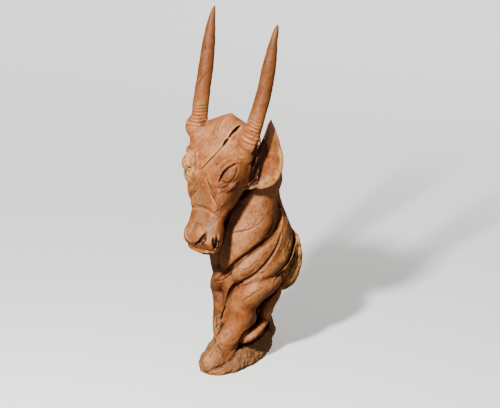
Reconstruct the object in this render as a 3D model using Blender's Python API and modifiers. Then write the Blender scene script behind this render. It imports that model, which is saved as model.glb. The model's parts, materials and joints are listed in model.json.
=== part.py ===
# Driftwood antelope head: the horned head and arched neck of an antelope, carved from one
# piece of driftwood that stands on its own rough root. It is one solid.
# The front of the animal faces -Y, its left side is +X, and the root stands on z = 0.

import math

import bmesh
import bpy
import numpy as np
from mathutils import Vector
from mathutils.bvhtree import BVHTree

# Driving sizes, in metres
CROWN_HEIGHT = 0.80  # floor to the ridge between the horns
HORN_LENGTH = 0.34  # from the first ring to the tip
HORN_RADIUS = 0.0245
EAR_LENGTH = 0.232
EAR_HALF_WIDTH = 0.037
EAR_WALL = 0.011
ROOT_LENGTH = 0.375
ROOT_WIDTH = 0.175
ROOT_HEIGHT = 0.085
VOXEL = 0.0042  # grid that fuses the forms into one body
TRIANGLES = 9600

# The layout is drawn in hundredths of the whole height, with the crown at 72.5
UNIT = CROWN_HEIGHT / 72.5

# The carving is laid out from its show side: 42 degrees round to its left, 20 degrees above.
# A place is read in that view as picture x and y, and how near it is to the viewer.
VIEW_TURN = math.radians(42)
VIEW_RISE = math.radians(20)
PICTURE_ORIGIN = (237, 358)
PICTURE_SCALE = 3.6  # picture steps in one hundredth of the height
RIGHT = np.array([math.cos(VIEW_TURN), math.sin(VIEW_TURN), 0.0])
NEAR = np.array([
    math.sin(VIEW_TURN) * math.cos(VIEW_RISE),
    -math.cos(VIEW_TURN) * math.cos(VIEW_RISE),
    math.sin(VIEW_RISE),
])
UP = np.cross(NEAR, RIGHT)

# Trunk and neck: height, centre x, centre y, half width, half depth
TRUNK = [
    (3, -1.2, 2.5, 5.0, 9.5),
    (8, -1.4, 3.4, 4.4, 8.0),
    (13, -1.0, 3.6, 4.4, 7.0),
    (18, -0.4, 6.0, 6.0, 9.2),
    (24, 0.4, 7.4, 8.4, 11.8),
    (30, 0.4, 7.6, 9.0, 11.8),
    (36, 0.2, 7.0, 8.0, 10.0),
    (42, 0.0, 6.0, 6.9, 8.0),
    (46, 0.0, 6.0, 6.8, 7.8),
    (50, 0.0, 6.4, 7.2, 9.5),
    (55, 0.0, 5.0, 7.4, 9.5),
    (60, 0.0, 1.5, 7.6, 7.2),
    (66, 0.0, -1.5, 7.4, 5.4),
    (69, 0.0, -2.8, 5.4, 3.4),
]

# Lines down the left half of the head, each as height, x and y
HEAD_LINES = {
    "middle of the face": [
        (72.8, 0, -2.6), (72.0, 0, -3.6), (70, 0, -5.4), (66, 0, -8.6), (62, 0, -11.4), (59, 0, -13.0),
        (56.5, 0, -13.7), (54, 0, -13.7), (50, 0, -13.8), (47, 0, -14.2), (44, 0, -15.4), (41.5, 0, -17.4),
        (39.8, 0, -18.0), (38.4, 0, -17.2), (37.2, 0, -16.6), (36, 0, -16.5), (34.8, 0, -15.4),
        (34, 0, -14.2),
    ],
    "inner face": [
        (72.8, 0.3, -2.6), (72.0, 1.2, -3.0), (70, 4.0, -4.2), (66, 5.4, -7.6), (62, 5.6, -10.7),
        (59, 5.0, -12.4), (56.5, 4.0, -13.2), (54, 3.2, -13.4), (50, 3.8, -13.8), (47, 3.4, -14.1),
        (44, 3.2, -15.2), (41.5, 3.2, -17.1), (39.8, 3.2, -17.6), (38.4, 3.2, -16.9), (37.2, 3.1, -16.2),
        (36, 3.0, -16.0), (34.8, 2.6, -15.0), (34, 1.6, -14.2),
    ],
    "brow and cheek": [
        (72.8, 0.5, -2.5), (72.0, 1.8, -2.6), (70, 5.8, -3.2), (68, 8.6, -4.9), (66, 9.4, -6.8),
        (63.7, 9.2, -9.0), (62, 9.1, -10.6), (58, 8.9, -11.8), (55.6, 8.2, -12.0), (54, 7.5, -12.3),
        (50.9, 6.8, -12.8),
        (49.3, 5.9, -12.9), (47.8, 5.2, -13.2), (46, 5.0, -13.1), (44.4, 5.0, -13.9), (43, 5.0, -14.7),
        (41.3, 5.1, -15.4), (39.9, 5.1, -16.4), (38, 5.0, -15.8), (37, 4.8, -15.1), (35.8, 4.6, -14.7),
        (34.8, 3.8, -14.2), (34, 2.4, -13.8),
    ],
    "side": [
        (72.8, 0.5, -2.4), (72.0, 1.8, -2.3), (70, 6.2, -2.8), (68, 9.2, -3.8), (66, 10.2, -5.2),
        (62, 10.2, -7.2),
        (58, 9.8, -8.2), (53.6, 8.4, -8.8), (49, 6.8, -10.5), (45.7, 5.6, -12.0), (41, 5.6, -13.2),
        (38, 5.4, -13.2), (36, 4.8, -13.6), (34.8, 3.8, -13.4), (34, 2.2, -13.2),
    ],
    "jaw": [
        (72.8, 0.3, -2.2), (72.0, 1.4, -1.8), (70, 5.0, -0.8), (66, 8.4, 0.0), (60, 8.8, -0.2),
        (56, 8.2, -1.4), (53.6, 7.4, -4.2), (49, 6.2, -7.8), (45.7, 5.1, -10.6), (41, 4.8, -11.0),
        (38.3, 4.7, -11.5), (36, 4.2, -12.5), (34.8, 3.0, -12.6), (34, 1.6, -12.8),
    ],
    "back": [
        (72.8, 0, -2.0), (72.0, 0, -1.4), (70, 0, 0.2), (66, 0, 2.0), (60, 0, 2.0), (56, 0, 0.0),
        (53.6, 0, -3.0), (49, 0, -6.8), (45.7, 0, -9.2), (41, 0, -10.2), (38.3, 0, -10.8), (36, 0, -12.0),
        (34.8, 0, -12.4), (34, 0, -12.8),
    ],
}

# Flowing strands on the show side: picture x, picture y, half width in picture steps,
# lift of the centre line off the trunk, half thickness
SHOW_STRANDS = {
    "shoulder lobe": [
        (268, 176, 12, 0.0, 2.0), (262, 196, 17, 0.2, 2.6), (252, 218, 21, 0.4, 3.2),
        (242, 238, 17, 0.9, 3.2), (232, 254, 12, 0.9, 2.6), (223, 266, 8, 0.6, 2.0),
    ],
    "neck band": [
        (285, 216, 9, 0.0, 1.8), (282, 236, 15, 0.3, 2.0), (272, 253, 19, 0.5, 2.2),
        (257, 267, 17, 0.9, 2.3), (244, 276, 11, 1.0, 2.0), (235, 282, 6, 0.6, 1.4),
    ],
    "chest lobe": [
        (230, 205, 8, 0.0, 2.0), (225, 228, 11, 0.3, 2.4), (220.5, 250, 11, 0.6, 2.6),
        (219, 264, 10, 0.7, 2.4), (221, 275, 8, 0.5, 1.8),
    ],
    "long strand": [
        (280, 208, 6, 0.0, 1.6), (276, 230, 7, 0.2, 2.0), (265, 247, 9, 0.6, 2.4),
        (250, 263, 9.5, 1.0, 2.6), (240, 273, 8, 1.2, 2.4), (233, 280, 5, 1.0, 1.8),
    ],
    "back strand": [
        (286, 222, 6, 0.0, 1.6), (286, 238, 7.5, 0.2, 2.0), (280, 255, 9.5, 0.5, 2.3),
        (268, 267, 9.5, 0.8, 2.5), (256, 276, 8, 0.8, 2.4), (246, 283, 5, 0.5, 1.6),
    ],
    "flake bed": [
        (291, 228, 3, 0.2, 1.4), (290, 240, 5, 0.5, 1.9), (287, 252, 6, 0.7, 2.1), (281, 264, 5.5, 0.8, 2.0),
        (274, 273, 4, 0.6, 1.5),
    ],
    "thigh": [
        (285, 273, 8, 0.6, 2.2), (271, 281, 12, 1.0, 3.0), (256, 289, 14, 1.6, 3.8),
        (244, 302, 13.5, 2.4, 4.0), (242, 314, 13, 3.0, 3.8), (237, 326, 12, 3.4, 3.2),
        (229.5, 338, 10.5, 3.6, 2.8), (224.8, 347, 11, 3.6, 2.7), (220.4, 354.6, 11.5, 3.3, 2.4),
        (214.6, 361, 11.5, 2.8, 2.0), (209, 366, 10.5, 2.2, 1.5), (204.4, 369.6, 7, 1.6, 0.9),
    ],
    "knee": [
        (256, 305, 4, 2.2, 2.2), (250, 313, 6, 2.6, 2.8), (249, 319, 6, 2.8, 2.6), (244, 325, 4, 2.8, 2.0),
    ],
    "tendon": [
        (280, 287, 4.5, 1.2, 2.0), (273, 296, 5.5, 2.4, 2.2), (267.5, 304, 6, 3.6, 2.4),
        (265, 312, 6, 4.4, 2.4), (262.5, 320, 5, 4.8, 2.2), (258.5, 326.5, 4.2, 4.8, 2.0),
        (252, 334, 5.2, 4.6, 2.0), (245.5, 340, 4.2, 4.4, 1.5), (240, 344, 2, 3.8, 0.9),
    ],
    "front mass": [
        (223, 272, 11, 0.2, 2.4), (219, 284, 10.5, 0.6, 2.6), (221.6, 300, 8.8, 1.0, 2.5),
        (221, 318, 8.2, 1.4, 2.4), (219.6, 334, 7, 1.5, 2.0), (218.6, 344, 5, 0.8, 1.2),
    ],
    "bark flake": [
        (295, 231, 2.2, 1.0, 1.4), (296, 246, 2.8, 1.2, 1.7), (295, 260, 5.0, 1.2, 2.1),
        (291, 271, 8.2, 1.3, 2.5), (287, 282, 8.6, 0.9, 2.3), (281.5, 291, 4.6, 0.5, 1.4),
    ],
}

# Strands on the hidden sides: angle round the trunk from the front, height, half width,
# lift and half thickness
FAR_STRANDS = {
    "nape ridge": [
        (180, 60, 2.4, -1.4, 1.8), (176, 53, 3.0, -1.2, 2.0), (166, 46, 3.4, -1.0, 2.2),
        (156, 38, 3.4, -0.7, 2.2), (148, 31, 3.0, -0.3, 2.0), (140, 25, 2.2, 0.0, 1.6),
    ],
    "far shoulder lobe": [
        (262, 52, 3.4, 0.0, 2.2), (270, 44, 4.4, 0.4, 2.6), (284, 36, 4.8, 0.6, 2.8),
        (300, 29, 4.0, 0.8, 2.6), (314, 24, 2.6, 0.6, 1.8),
    ],
    "far long strand": [
        (228, 50, 2.6, 0.0, 1.8), (234, 40, 3.4, 0.4, 2.3), (246, 31, 3.6, 0.6, 2.4),
        (264, 23, 3.4, 0.8, 2.3), (286, 16, 2.8, 1.3, 2.0), (304, 9, 2.0, 1.4, 1.5),
    ],
    "spine strand": [
        (200, 48, 2.8, -0.8, 1.8), (202, 38, 3.6, -0.4, 2.1), (210, 29, 3.8, 0.1, 2.3),
        (222, 20, 3.4, 0.8, 2.4), (236, 12, 2.8, 1.4, 2.2), (250, 5, 2.4, 1.6, 1.8),
    ],
    "back root": [
        (176, 28, 2.8, -1.2, 1.9), (180, 20, 3.2, -0.8, 2.0), (186, 13, 3.2, 0.0, 2.1),
        (188, 7, 3.6, 1.1, 2.4), (184, 1, 4.2, 2.0, 2.6),
    ],
}

# Rounded masses on the left half of the head, mirrored to the right half:
# middle, the three half sizes, and the turn of the longest in the show view, in degrees
HEAD_MASSES = {
    "eyeball": ((7.9, -11.2, 58.8), (2.5, 1.9, 1.9), 46),
    "upper lid": ((7.2, -10.9, 61.2), (4.0, 1.1, 1.5), 44),
    "lower lid": ((8.2, -10.8, 56.1), (3.0, 0.9, 1.3), 46),
    "horn boss": ((10.3, -5.8, 67.8), (2.9, 3.4, 2.6), 0),
    "ear foot": ((9.0, -3.3, 54.1), (2.9, 1.0, 1.5), 17),
    "nose pad": ((0.2, -14.4, 41.0), (4.1, 3.9, 2.9), 0),
    "nostril wing": ((3.8, -14.2, 40.4), (2.4, 1.9, 2.2), 30),
}

# Lines carved into the show side: picture x and y, width to the left and to the right of
# the line's own way in picture steps, and depth
SHOW_CUTS = {
    "under the shoulder lobe": [
        (277.6, 200, 4, 2, 0.3), (278.4, 210, 5.5, 2, 1.0), (278, 218, 6.5, 2, 1.4), (274.4, 229, 7, 2, 1.7),
        (268.7, 237, 7, 2, 1.7), (259, 243.4, 6.5, 2, 1.5), (249, 251, 6.5, 2, 1.4), (240, 257.6, 6, 2, 1.3),
        (229, 268, 5, 2.5, 1.1), (222, 276, 4, 2.5, 0.8), (215, 282, 3.5, 2.5, 0.4),
    ],
    "under the long strand": [
        (281, 232, 2, 1.5, 0.2), (278.3, 242.3, 3, 1.6, 0.5), (273, 252, 3.5, 1.6, 0.7),
        (267, 261.4, 3.5, 1.8, 0.8), (259.8, 269, 3.5, 2, 0.9), (253, 275, 3.5, 2, 1.0),
        (244, 281, 3, 2, 0.8),
    ],
    "beside the flake": [
        (292, 226, 1.5, 2, 0.3), (293.6, 233, 2, 3, 1.4), (293.8, 243, 2.4, 3.4, 2.0),
        (291.4, 253.5, 2.4, 3.4, 1.8), (288, 261.5, 2.2, 3, 1.5), (283, 267.5, 2, 2.4, 1.1),
        (277, 272, 2, 2, 0.5), (271, 278, 1.5, 2, 0.2),
    ],
    "above the thigh": [
        (264, 272.5, 1.5, 2, 0.3), (253.6, 275.3, 2.4, 2.4, 1.0), (242, 281.5, 2.8, 2.8, 1.6),
        (235.7, 284.6, 3, 3, 1.9), (231.3, 290, 3, 3, 1.9), (228.6, 296, 2.6, 2.8, 1.6),
        (226, 301.6, 2.2, 2.4, 1.3), (224.5, 308.4, 2, 2.2, 1.2), (223, 313, 1.8, 1.8, 1.0),
        (221, 319, 1.5, 1.5, 0.5),
    ],
    "behind the shin": [
        (276, 291, 1.8, 1.8, 0.5), (271, 296, 2, 2, 1.2), (265, 300.5, 2, 2, 1.8),
        (259, 305, 2.2, 2.2, 2.2), (256.5, 311, 2.2, 2.2, 2.4), (258, 318, 2.2, 2.2, 2.4),
        (256, 323.5, 2.2, 2.2, 2.4), (249.6, 328, 2.4, 2.4, 2.4), (244, 333.5, 2.4, 2.4, 2.2),
        (239.5, 340, 2.4, 2.4, 1.8), (236, 345, 2, 2, 1.0),
    ],
    "under the tendon": [
        (269, 321, 2.5, 2, 1.2), (266, 329, 3, 2.5, 1.8), (261, 336.5, 3, 2.5, 2.0),
        (252, 342.5, 3, 2.5, 1.8), (243, 345.5, 2.5, 2.5, 1.2), (238, 347, 2, 2, 0.6),
    ],
    "round the toe": [
        (238, 344, 3, 1.5, 0.6), (235.4, 351, 4, 2, 0.8), (231.6, 358, 4, 2, 0.8), (223.4, 364.4, 4, 2, 0.7),
        (214, 368.4, 3, 2, 0.5), (208, 371, 2, 1.5, 0.2),
    ],
    "before the shin": [
        (226, 316, 1.5, 2.5, 0.4), (222.4, 328, 2, 3, 0.6), (216.5, 338.5, 2, 3, 0.5), (212, 347, 2, 3, 0.2),
    ],
}

# Lines carved into the left half of the head and mirrored to the right half
HEAD_CUTS = {
    "under the jaw": [
        (258, 184, 2, 2, 0.4), (247, 189, 4, 2, 1.2), (241, 199, 6, 2, 1.6), (235.5, 208, 7, 2, 1.8),
        (229.5, 216, 7, 2, 1.8), (225, 224, 5, 2, 1.4),
    ],
    "cheek line": [
        (207.0, 179.6, 1.6, 1.2, 0.3), (209.4, 186.5, 3.4, 1.6, 0.8), (213.4, 196, 4.0, 1.8, 1.0),
        (218, 204, 3.4, 1.8, 0.9), (222.4, 212, 2, 1.5, 0.3),
    ],
    "upper eyelid line": [
        (217.5, 186, 1.2, 1.2, 0.3), (220.5, 179.5, 1.6, 2.0, 0.7), (224.5, 172.8, 1.6, 2.0, 0.8),
        (229.5, 168.2, 1.6, 2.0, 0.7), (236, 165, 1.2, 1.4, 0.3),
    ],
    "lower eyelid line": [
        (236.8, 168, 1.2, 1.2, 0.2), (236.8, 174, 1.5, 1.5, 0.5), (234, 180, 1.6, 1.5, 0.6),
        (229, 183, 1.6, 1.5, 0.5), (222.6, 182.4, 1.2, 1.2, 0.3),
    ],
    "nose line": [
        (195.3, 204.6, 2.4, 1.2, 0.3), (204, 208, 2.8, 1.2, 0.5), (212, 212.4, 2.8, 1.2, 0.5),
        (219.5, 217.4, 2, 1.2, 0.3),
    ],
    "nostril": [
        (207.4, 232, 1.6, 1.6, 0.4), (205, 236, 2.2, 2.2, 1.5), (201.4, 240.5, 2.4, 2.4, 1.6),
        (196.4, 243.4, 1.6, 1.6, 0.5),
    ],
    "corner of the mouth": [
        (217.6, 234.5, 1.6, 1.6, 0.4), (217, 239, 2.6, 2.6, 1.5), (216, 244.5, 2.8, 2.8, 1.6),
        (214.6, 248.4, 1.8, 1.8, 0.6),
    ],
    "mouth": [
        (189.8, 245.2, 1.2, 1.2, 0.15), (196, 247.6, 1.4, 1.4, 0.35), (204, 249.2, 1.4, 1.4, 0.4),
        (212, 250, 1.4, 1.4, 0.35), (217.6, 250.6, 1.2, 1.2, 0.15),
    ],
    "ear root": [
        (259, 141, 2, 2, 0.5), (256, 150, 2.5, 3, 1.4), (254, 160, 2.5, 3, 1.8), (252.5, 170, 2.5, 2.5, 1.6),
        (250.5, 179, 2, 2, 0.8),
    ],
}

# Lines carved into the hidden sides: angle round the trunk, height, widths and depth
FAR_CUTS = {
    "under the far shoulder": [
        (246, 48, 1.4, 0.8, 0.3), (256, 40, 2.4, 0.9, 1.1), (274, 32, 2.6, 0.9, 1.2),
        (292, 25, 2.2, 0.9, 1.1), (310, 20, 1.4, 0.7, 0.4),
    ],
    "between the far strands": [
        (214, 46, 0.8, 0.8, 0.3), (220, 36, 1.2, 1.0, 1.0), (232, 27, 1.2, 1.0, 1.2),
        (248, 19, 1.2, 1.0, 1.3), (268, 12, 1.0, 1.0, 1.0), (284, 7, 0.8, 0.8, 0.4),
    ],
    "beside the spine": [
        (188, 50, 0.8, 0.8, 0.3), (186, 40, 1.2, 1.0, 1.0), (190, 30, 1.2, 1.0, 1.2),
        (200, 21, 1.2, 1.0, 1.4), (214, 13, 1.0, 1.0, 1.2), (226, 7, 0.8, 0.8, 0.5),
    ],
    "beside the nape": [
        (160, 56, 0.8, 0.8, 0.3), (154, 47, 1.2, 1.0, 0.9), (144, 38, 1.2, 1.0, 1.1),
        (134, 30, 1.0, 1.0, 0.8), (126, 25, 0.8, 0.8, 0.3),
    ],
}


# Middle lines of the horns from inside the skull to the tip, as x, y and height
HORNS = {
    "left": [
        (8.0, -6.2, 62.5), (9.4, -5.6, 66.6), (10.0, -4.5, 70.4), (10.3, -2.5, 75.4),
        (10.6, -0.7, 80.3), (11.1, 1.4, 89.8), (11.4, 2.4, 94.8), (11.7, 3.8, 99.6),
    ],
    "right": [
        (-8.0, -6.0, 62.5), (-9.5, -5.2, 66.4), (-10.1, -4.2, 69.6), (-10.4, -2.9, 75.6),
        (-10.7, -0.7, 84.0), (-11.1, 1.2, 92.3), (-11.3, 2.3, 96.6), (-11.5, 3.8, 100.2),
    ],
}
HORN_TAPER = [
    (-0.35, 0.70), (-0.24, 1.25), (-0.16, 1.22), (-0.05, 1.06), (0, 1.03), (0.3, 0.98), (0.55, 0.90),
    (0.68, 0.78), (0.78, 0.62), (0.85, 0.49), (0.92, 0.36), (0.97, 0.20), (1.0, 0.05),
]
RING_SPACING = 0.0090
RING_RELIEF = 0.0015
RINGS_ABOVE = 4  # rings of the shaft above the foot of the horn

# Left ear, root to tip: x, y, height, share of the half width
EAR = [
    (8.65, -3.15, 54.4, 0.38),
    (10.4, -1.2, 57.6, 0.96),
    (11.6, 0.0, 61.7, 0.96),
    (12.1, 0.2, 66.1, 0.62),
    (12.5, 0.0, 70.1, 0.32),
    (12.9, -0.3, 74.4, 0.05),
]
EAR_OPENING = (0.76, -0.64, 0.10)


def hundredths(metres):
    return metres / UNIT


def seen(x, y, near):
    """The place at picture x and y that lies this near to the viewer, in hundredths."""
    right = (x - PICTURE_ORIGIN[0]) / PICTURE_SCALE
    up = (PICTURE_ORIGIN[1] - y) / PICTURE_SCALE
    return right * RIGHT + up * UP + near * NEAR


def smooth_rows(rows, count):
    """Rows read along a Catmull-Rom curve through the given ones."""
    rows = np.array(rows, float)
    padded = np.vstack([2 * rows[0] - rows[1], rows, 2 * rows[-1] - rows[-2]])
    places = np.linspace(0, len(rows) - 1, count)
    first = np.minimum(places.astype(int), len(rows) - 2)
    t = (places - first)[:, None]
    a, b, c, d = (padded[first + k] for k in range(4))
    return 0.5 * (2 * b + (c - a) * t + (2 * a - 5 * b + 4 * c - d) * t**2 + (3 * b - a - 3 * c + d) * t**3)


def oval(centre, across, through, half_across, half_through, sides, squareness=2.0):
    """A closed ring of points round centre."""
    turn = np.linspace(0, 2 * math.pi, sides, endpoint=False)
    c, s = np.cos(turn), np.sin(turn)
    x = half_across * np.sign(c) * np.abs(c) ** (2 / squareness)
    y = half_through * np.sign(s) * np.abs(s) ** (2 / squareness)
    return centre + np.outer(x, across) + np.outer(y, through)


def skin(rings):
    """A closed shell through the rings, each end closed on its own middle: points and faces."""
    sides = len(rings[0])
    points = np.vstack([*rings, rings[0].mean(axis=0), rings[-1].mean(axis=0)])
    faces = []
    for ring in range(len(rings) - 1):
        for k in range(sides):
            low, high = ring * sides, (ring + 1) * sides
            after = (k + 1) % sides
            faces.append((low + k, low + after, high + after, high + k))
    start, end = len(points) - 2, len(points) - 1
    top = (len(rings) - 1) * sides
    for k in range(sides):
        after = (k + 1) % sides
        faces.append((start, after, k))
        faces.append((end, top + k, top + after))
    return points, faces


def soft_ring(corners, steps):
    """A closed line through the corners, between straight and curved."""
    before, after, next_after = np.roll(corners, 1, 0), np.roll(corners, -1, 0), np.roll(corners, -2, 0)
    points = []
    for step in range(steps):
        t = step / steps
        curve = 0.5 * (2 * corners + (after - before) * t
                       + (2 * before - 5 * corners + 4 * after - next_after) * t**2
                       + (3 * corners - before - 3 * after + next_after) * t**3)
        points.append(0.6 * curve + 0.4 * (corners + (after - corners) * t))
    return np.array(points).transpose(1, 0, 2).reshape(-1, 2)


def rounded_ends(count, share):
    """A share of full size for each ring, so that a form closes in a round end."""
    place = np.linspace(0, 1, count)
    edge = np.minimum(np.minimum(place, 1 - place) / share, 1)
    return np.sqrt(np.maximum(1 - (1 - edge) ** 2, 0.004))


def trunk_form():
    rows = smooth_rows(TRUNK, 60)
    ends = rounded_ends(60, 0.06)
    x, y = np.eye(3)[0], np.eye(3)[1]
    return skin([
        oval(np.array([r[1], r[2], r[0]]), x, y, r[3] * e, r[4] * e, 40)
        for r, e in zip(rows, ends)
    ])


def head_form():
    """The head through its lines, with planes between them."""
    heights = np.linspace(34, 72.8, 80)
    left = []
    for line in HEAD_LINES.values():
        rows = smooth_rows(line[::-1], 120)
        left.append(np.column_stack([np.interp(heights, rows[:, 0], rows[:, k]) for k in (1, 2)]))
    around = left + [line * (-1, 1) for line in left[-2:0:-1]]
    rings = []
    for k, height in enumerate(heights):
        corners = np.array([line[k] for line in around])
        rings.append(np.column_stack([soft_ring(corners, 5), np.full(5 * len(corners), height)]))
    return skin(rings)


def root_form():
    """The rough foot: long and low on the floor, rising to the trunk."""
    half_length = hundredths(ROOT_LENGTH) / 2
    half_width = hundredths(ROOT_WIDTH) / 2
    height = hundredths(ROOT_HEIGHT)
    long_way = np.array([-0.30, 0.954, 0.0])
    wide_way = np.array([0.954, 0.30, 0.0])
    profile = [
        (-0.15, 0.97, 0.95, 0.0), (0.0, 0.99, 0.98, 0.0), (0.16, 0.99, 1.0, 0.0), (0.36, 0.92, 0.92, 0.07),
        (0.6, 0.77, 0.80, 0.18), (0.8, 0.58, 0.66, 0.26), (1.0, 0.40, 0.48, 0.3), (1.1, 0.2, 0.3, 0.3),
    ]
    rings = []
    for share, length, width, back in smooth_rows(profile, 26):
        middle = np.array([-1.4, 1.0, share * height]) + long_way * half_length * back
        ring = oval(middle, long_way, wide_way, half_length * length, half_width * width, 44, 2.1)
        rings.append(ring[::-1])
    return skin(rings)


def ball_form(middle, sizes, turn, side):
    """A rounded mass lying in the show view's plane, turned in that plane."""
    turn = math.radians(turn)
    long_way = math.cos(turn) * RIGHT + math.sin(turn) * UP
    short_way = math.cos(turn) * UP - math.sin(turn) * RIGHT
    rings = []
    for rise in np.linspace(-math.pi / 2 + 0.05, math.pi / 2 - 0.05, 16):
        centre = np.array(middle) + sizes[2] * math.sin(rise) * NEAR
        flat = math.cos(rise)
        rings.append(oval(centre, long_way, short_way, sizes[0] * flat, sizes[1] * flat, 24))
    points, faces = skin(rings)
    points[:, 0] *= side
    return points, faces


def trunk_middle(height):
    rows = np.array(TRUNK, float)
    return np.array([np.interp(height, rows[:, 0], rows[:, k]) for k in (1, 2, 3, 4)])


def outward(place):
    """The way out of the trunk at a place on it."""
    x, y, half_x, half_y = trunk_middle(place[2])
    way = np.array([(place[0] - x) / half_x**2, (place[1] - y) / half_y**2, 0.0])
    return way / max(np.linalg.norm(way), 1e-6)


def show_place(trunk, root, x, y, lift):
    """A place at picture x and y, lifted towards the viewer off the trunk and clear of the root."""
    hit = trunk.ray_cast(Vector(seen(x, y, 80)), Vector(-NEAR))[0]
    axis = np.array([(row[1], row[2], row[0]) for row in TRUNK], float)
    up = (PICTURE_ORIGIN[1] - y) / PICTURE_SCALE
    near = np.interp(up, axis @ UP, axis @ NEAR) if hit is None else np.dot(hit, NEAR)
    low = root.ray_cast(Vector(seen(x, y, 80)), Vector(-NEAR))[0]
    if low is not None:
        return seen(x, y, max(near + lift, np.dot(low, NEAR) + 0.5))
    return seen(x, y, near + lift)


def far_place(angle, height, lift):
    x, y, half_x, half_y = trunk_middle(height)
    turn = math.radians(angle)
    place = np.array([x + half_x * math.sin(turn), y - half_y * math.cos(turn), height])
    return place + lift * outward(place)


def strand_form(places, half_widths, half_thicknesses, sides=20, rings=40):
    """A rounded strand through these places, lying flat along the trunk."""
    rows = smooth_rows(np.column_stack([places, half_widths, half_thicknesses]), rings)
    ends = rounded_ends(rings, 0.16)
    along = np.gradient(rows[:, :3], axis=0)
    made = []
    for row, way, end in zip(rows, along, ends):
        out = outward(row[:3])
        across = np.cross(way / np.linalg.norm(way), out)
        across /= np.linalg.norm(across)
        made.append(oval(row[:3], across, out, row[3] * end, row[4] * end, sides))
    return skin(made)


def show_strand(trunk, root, rows):
    rows = np.array(rows, float)
    places = [show_place(trunk, root, x, y, lift) for x, y, _, lift, _ in rows]
    return strand_form(places, rows[:, 2] / PICTURE_SCALE, rows[:, 4])


def far_strand(rows):
    rows = np.array(rows, float)
    places = [far_place(angle, height, lift) for angle, height, _, lift, _ in rows]
    return strand_form(places, rows[:, 2], rows[:, 4])


def horn_form(rows):
    """A horn with rings at its foot."""
    places = smooth_rows(rows, 110)
    steps = np.linalg.norm(np.diff(places, axis=0), axis=1)
    reach = np.concatenate([[0], np.cumsum(steps)])
    length = hundredths(HORN_LENGTH)
    reach = (reach - reach[-1]) / length + 1
    shares, sizes = np.array(HORN_TAPER).T
    spacing = RING_SPACING / HORN_LENGTH
    rings = hundredths(RING_RELIEF) * np.cos(2 * math.pi * reach / spacing)
    rings *= np.clip(RINGS_ABOVE + 1 - reach / spacing, 0, 1)
    radius = hundredths(HORN_RADIUS) * np.interp(reach, shares, sizes) + rings
    along = np.gradient(places, axis=0)
    made = []
    for place, way, size in zip(places, along, radius):
        way = way / np.linalg.norm(way)
        across = np.cross(way, [0, 1, 0])
        across /= np.linalg.norm(across)
        made.append(oval(place, np.cross(across, way), across, size, size, 24)[::-1])
    return skin(made)


def ear_form(side):
    """A cupped leaf with a thick wall, open towards the front and side."""
    rows = np.array(EAR, float)
    middle = rows[:, :3].mean(axis=0)
    grow = hundredths(EAR_LENGTH) / np.linalg.norm(np.diff(rows[:, :3], axis=0), axis=1).sum()
    rows[:, :3] = rows[0, :3] + (rows[:, :3] - rows[0, :3]) * grow
    rows = smooth_rows(rows, 34)
    rows[:, 3] = np.maximum(rows[:, 3], 0.05) * hundredths(EAR_HALF_WIDTH)
    wall = hundredths(EAR_WALL)
    opening = np.array(EAR_OPENING) / np.linalg.norm(EAR_OPENING)
    along = np.gradient(rows[:, :3], axis=0)
    curl = np.radians(np.linspace(94, 62, len(rows)))
    made = []
    for row, way, bend in zip(rows, along, curl):
        way = way / np.linalg.norm(way)
        across = np.cross(opening, way)
        across /= np.linalg.norm(across)
        face = np.cross(way, across)
        if face @ opening < 0:
            face = -face
        inner = row[3] / math.sin(bend)
        sweep = np.linspace(-bend, bend, 15)
        thin = min(wall, 0.55 * row[3])
        inside = [row[:3] + across * inner * math.sin(a) + face * inner * (1 - math.cos(a)) for a in sweep]
        outer = inner + thin
        outside = [
            row[:3] - face * thin + across * outer * math.sin(a) + face * outer * (1 - math.cos(a))
            for a in sweep[::-1]
        ]
        made.append(np.array(inside + outside))
    points, faces = skin(made)
    points[:, 0] *= side
    if side < 0:
        faces = [face[::-1] for face in faces]
    return points, faces


def mesh_of(name, forms):
    """One mesh of all the forms, in metres."""
    points, faces, offset = [], [], 0
    for form_points, form_faces in forms:
        points.append(form_points)
        faces += [tuple(k + offset for k in face) for face in form_faces]
        offset += len(form_points)
    mesh = bpy.data.meshes.new(name)
    mesh.from_pydata((np.vstack(points) * UNIT).tolist(), [], faces)
    bm = bmesh.new()
    bm.from_mesh(mesh)
    bmesh.ops.recalc_face_normals(bm, faces=bm.faces)
    bm.to_mesh(mesh)
    bm.free()
    return mesh


def tree_of(form):
    points, faces = form
    return BVHTree.FromPolygons(points.tolist(), faces)


def all_forms():
    trunk, root = trunk_form(), root_form()
    trees = tree_of(trunk), tree_of(root)
    forms = [trunk, head_form(), root]
    forms += [show_strand(*trees, rows) for rows in SHOW_STRANDS.values()]
    forms += [far_strand(rows) for rows in FAR_STRANDS.values()]
    forms += [horn_form(rows) for rows in HORNS.values()]
    for side in (1, -1):
        forms.append(ear_form(side))
        forms += [ball_form(*mass, side) for mass in HEAD_MASSES.values()]
    return forms


def dense(rows, step):
    """Rows read often enough along their line that none are more than a step apart."""
    rows = np.array(rows, float)
    length = np.linalg.norm(np.diff(rows[:, :2], axis=0), axis=1).sum()
    return smooth_rows(rows, max(int(length / step), 2 * len(rows)))


def show_line(tree, rows):
    """A line carved on the show side: its places, its way out, and its widths and depths."""
    rows = dense(rows, 1.2)
    places, kept = [], []
    for row in rows:
        hit = tree.ray_cast(Vector(seen(row[0], row[1], 90)), Vector(-NEAR))[0]
        if hit is not None:
            places.append(hit)
            kept.append(row[2:] / (PICTURE_SCALE, PICTURE_SCALE, 1))
    return np.array(places), np.tile(NEAR, (len(places), 1)), np.array(kept)


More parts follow.
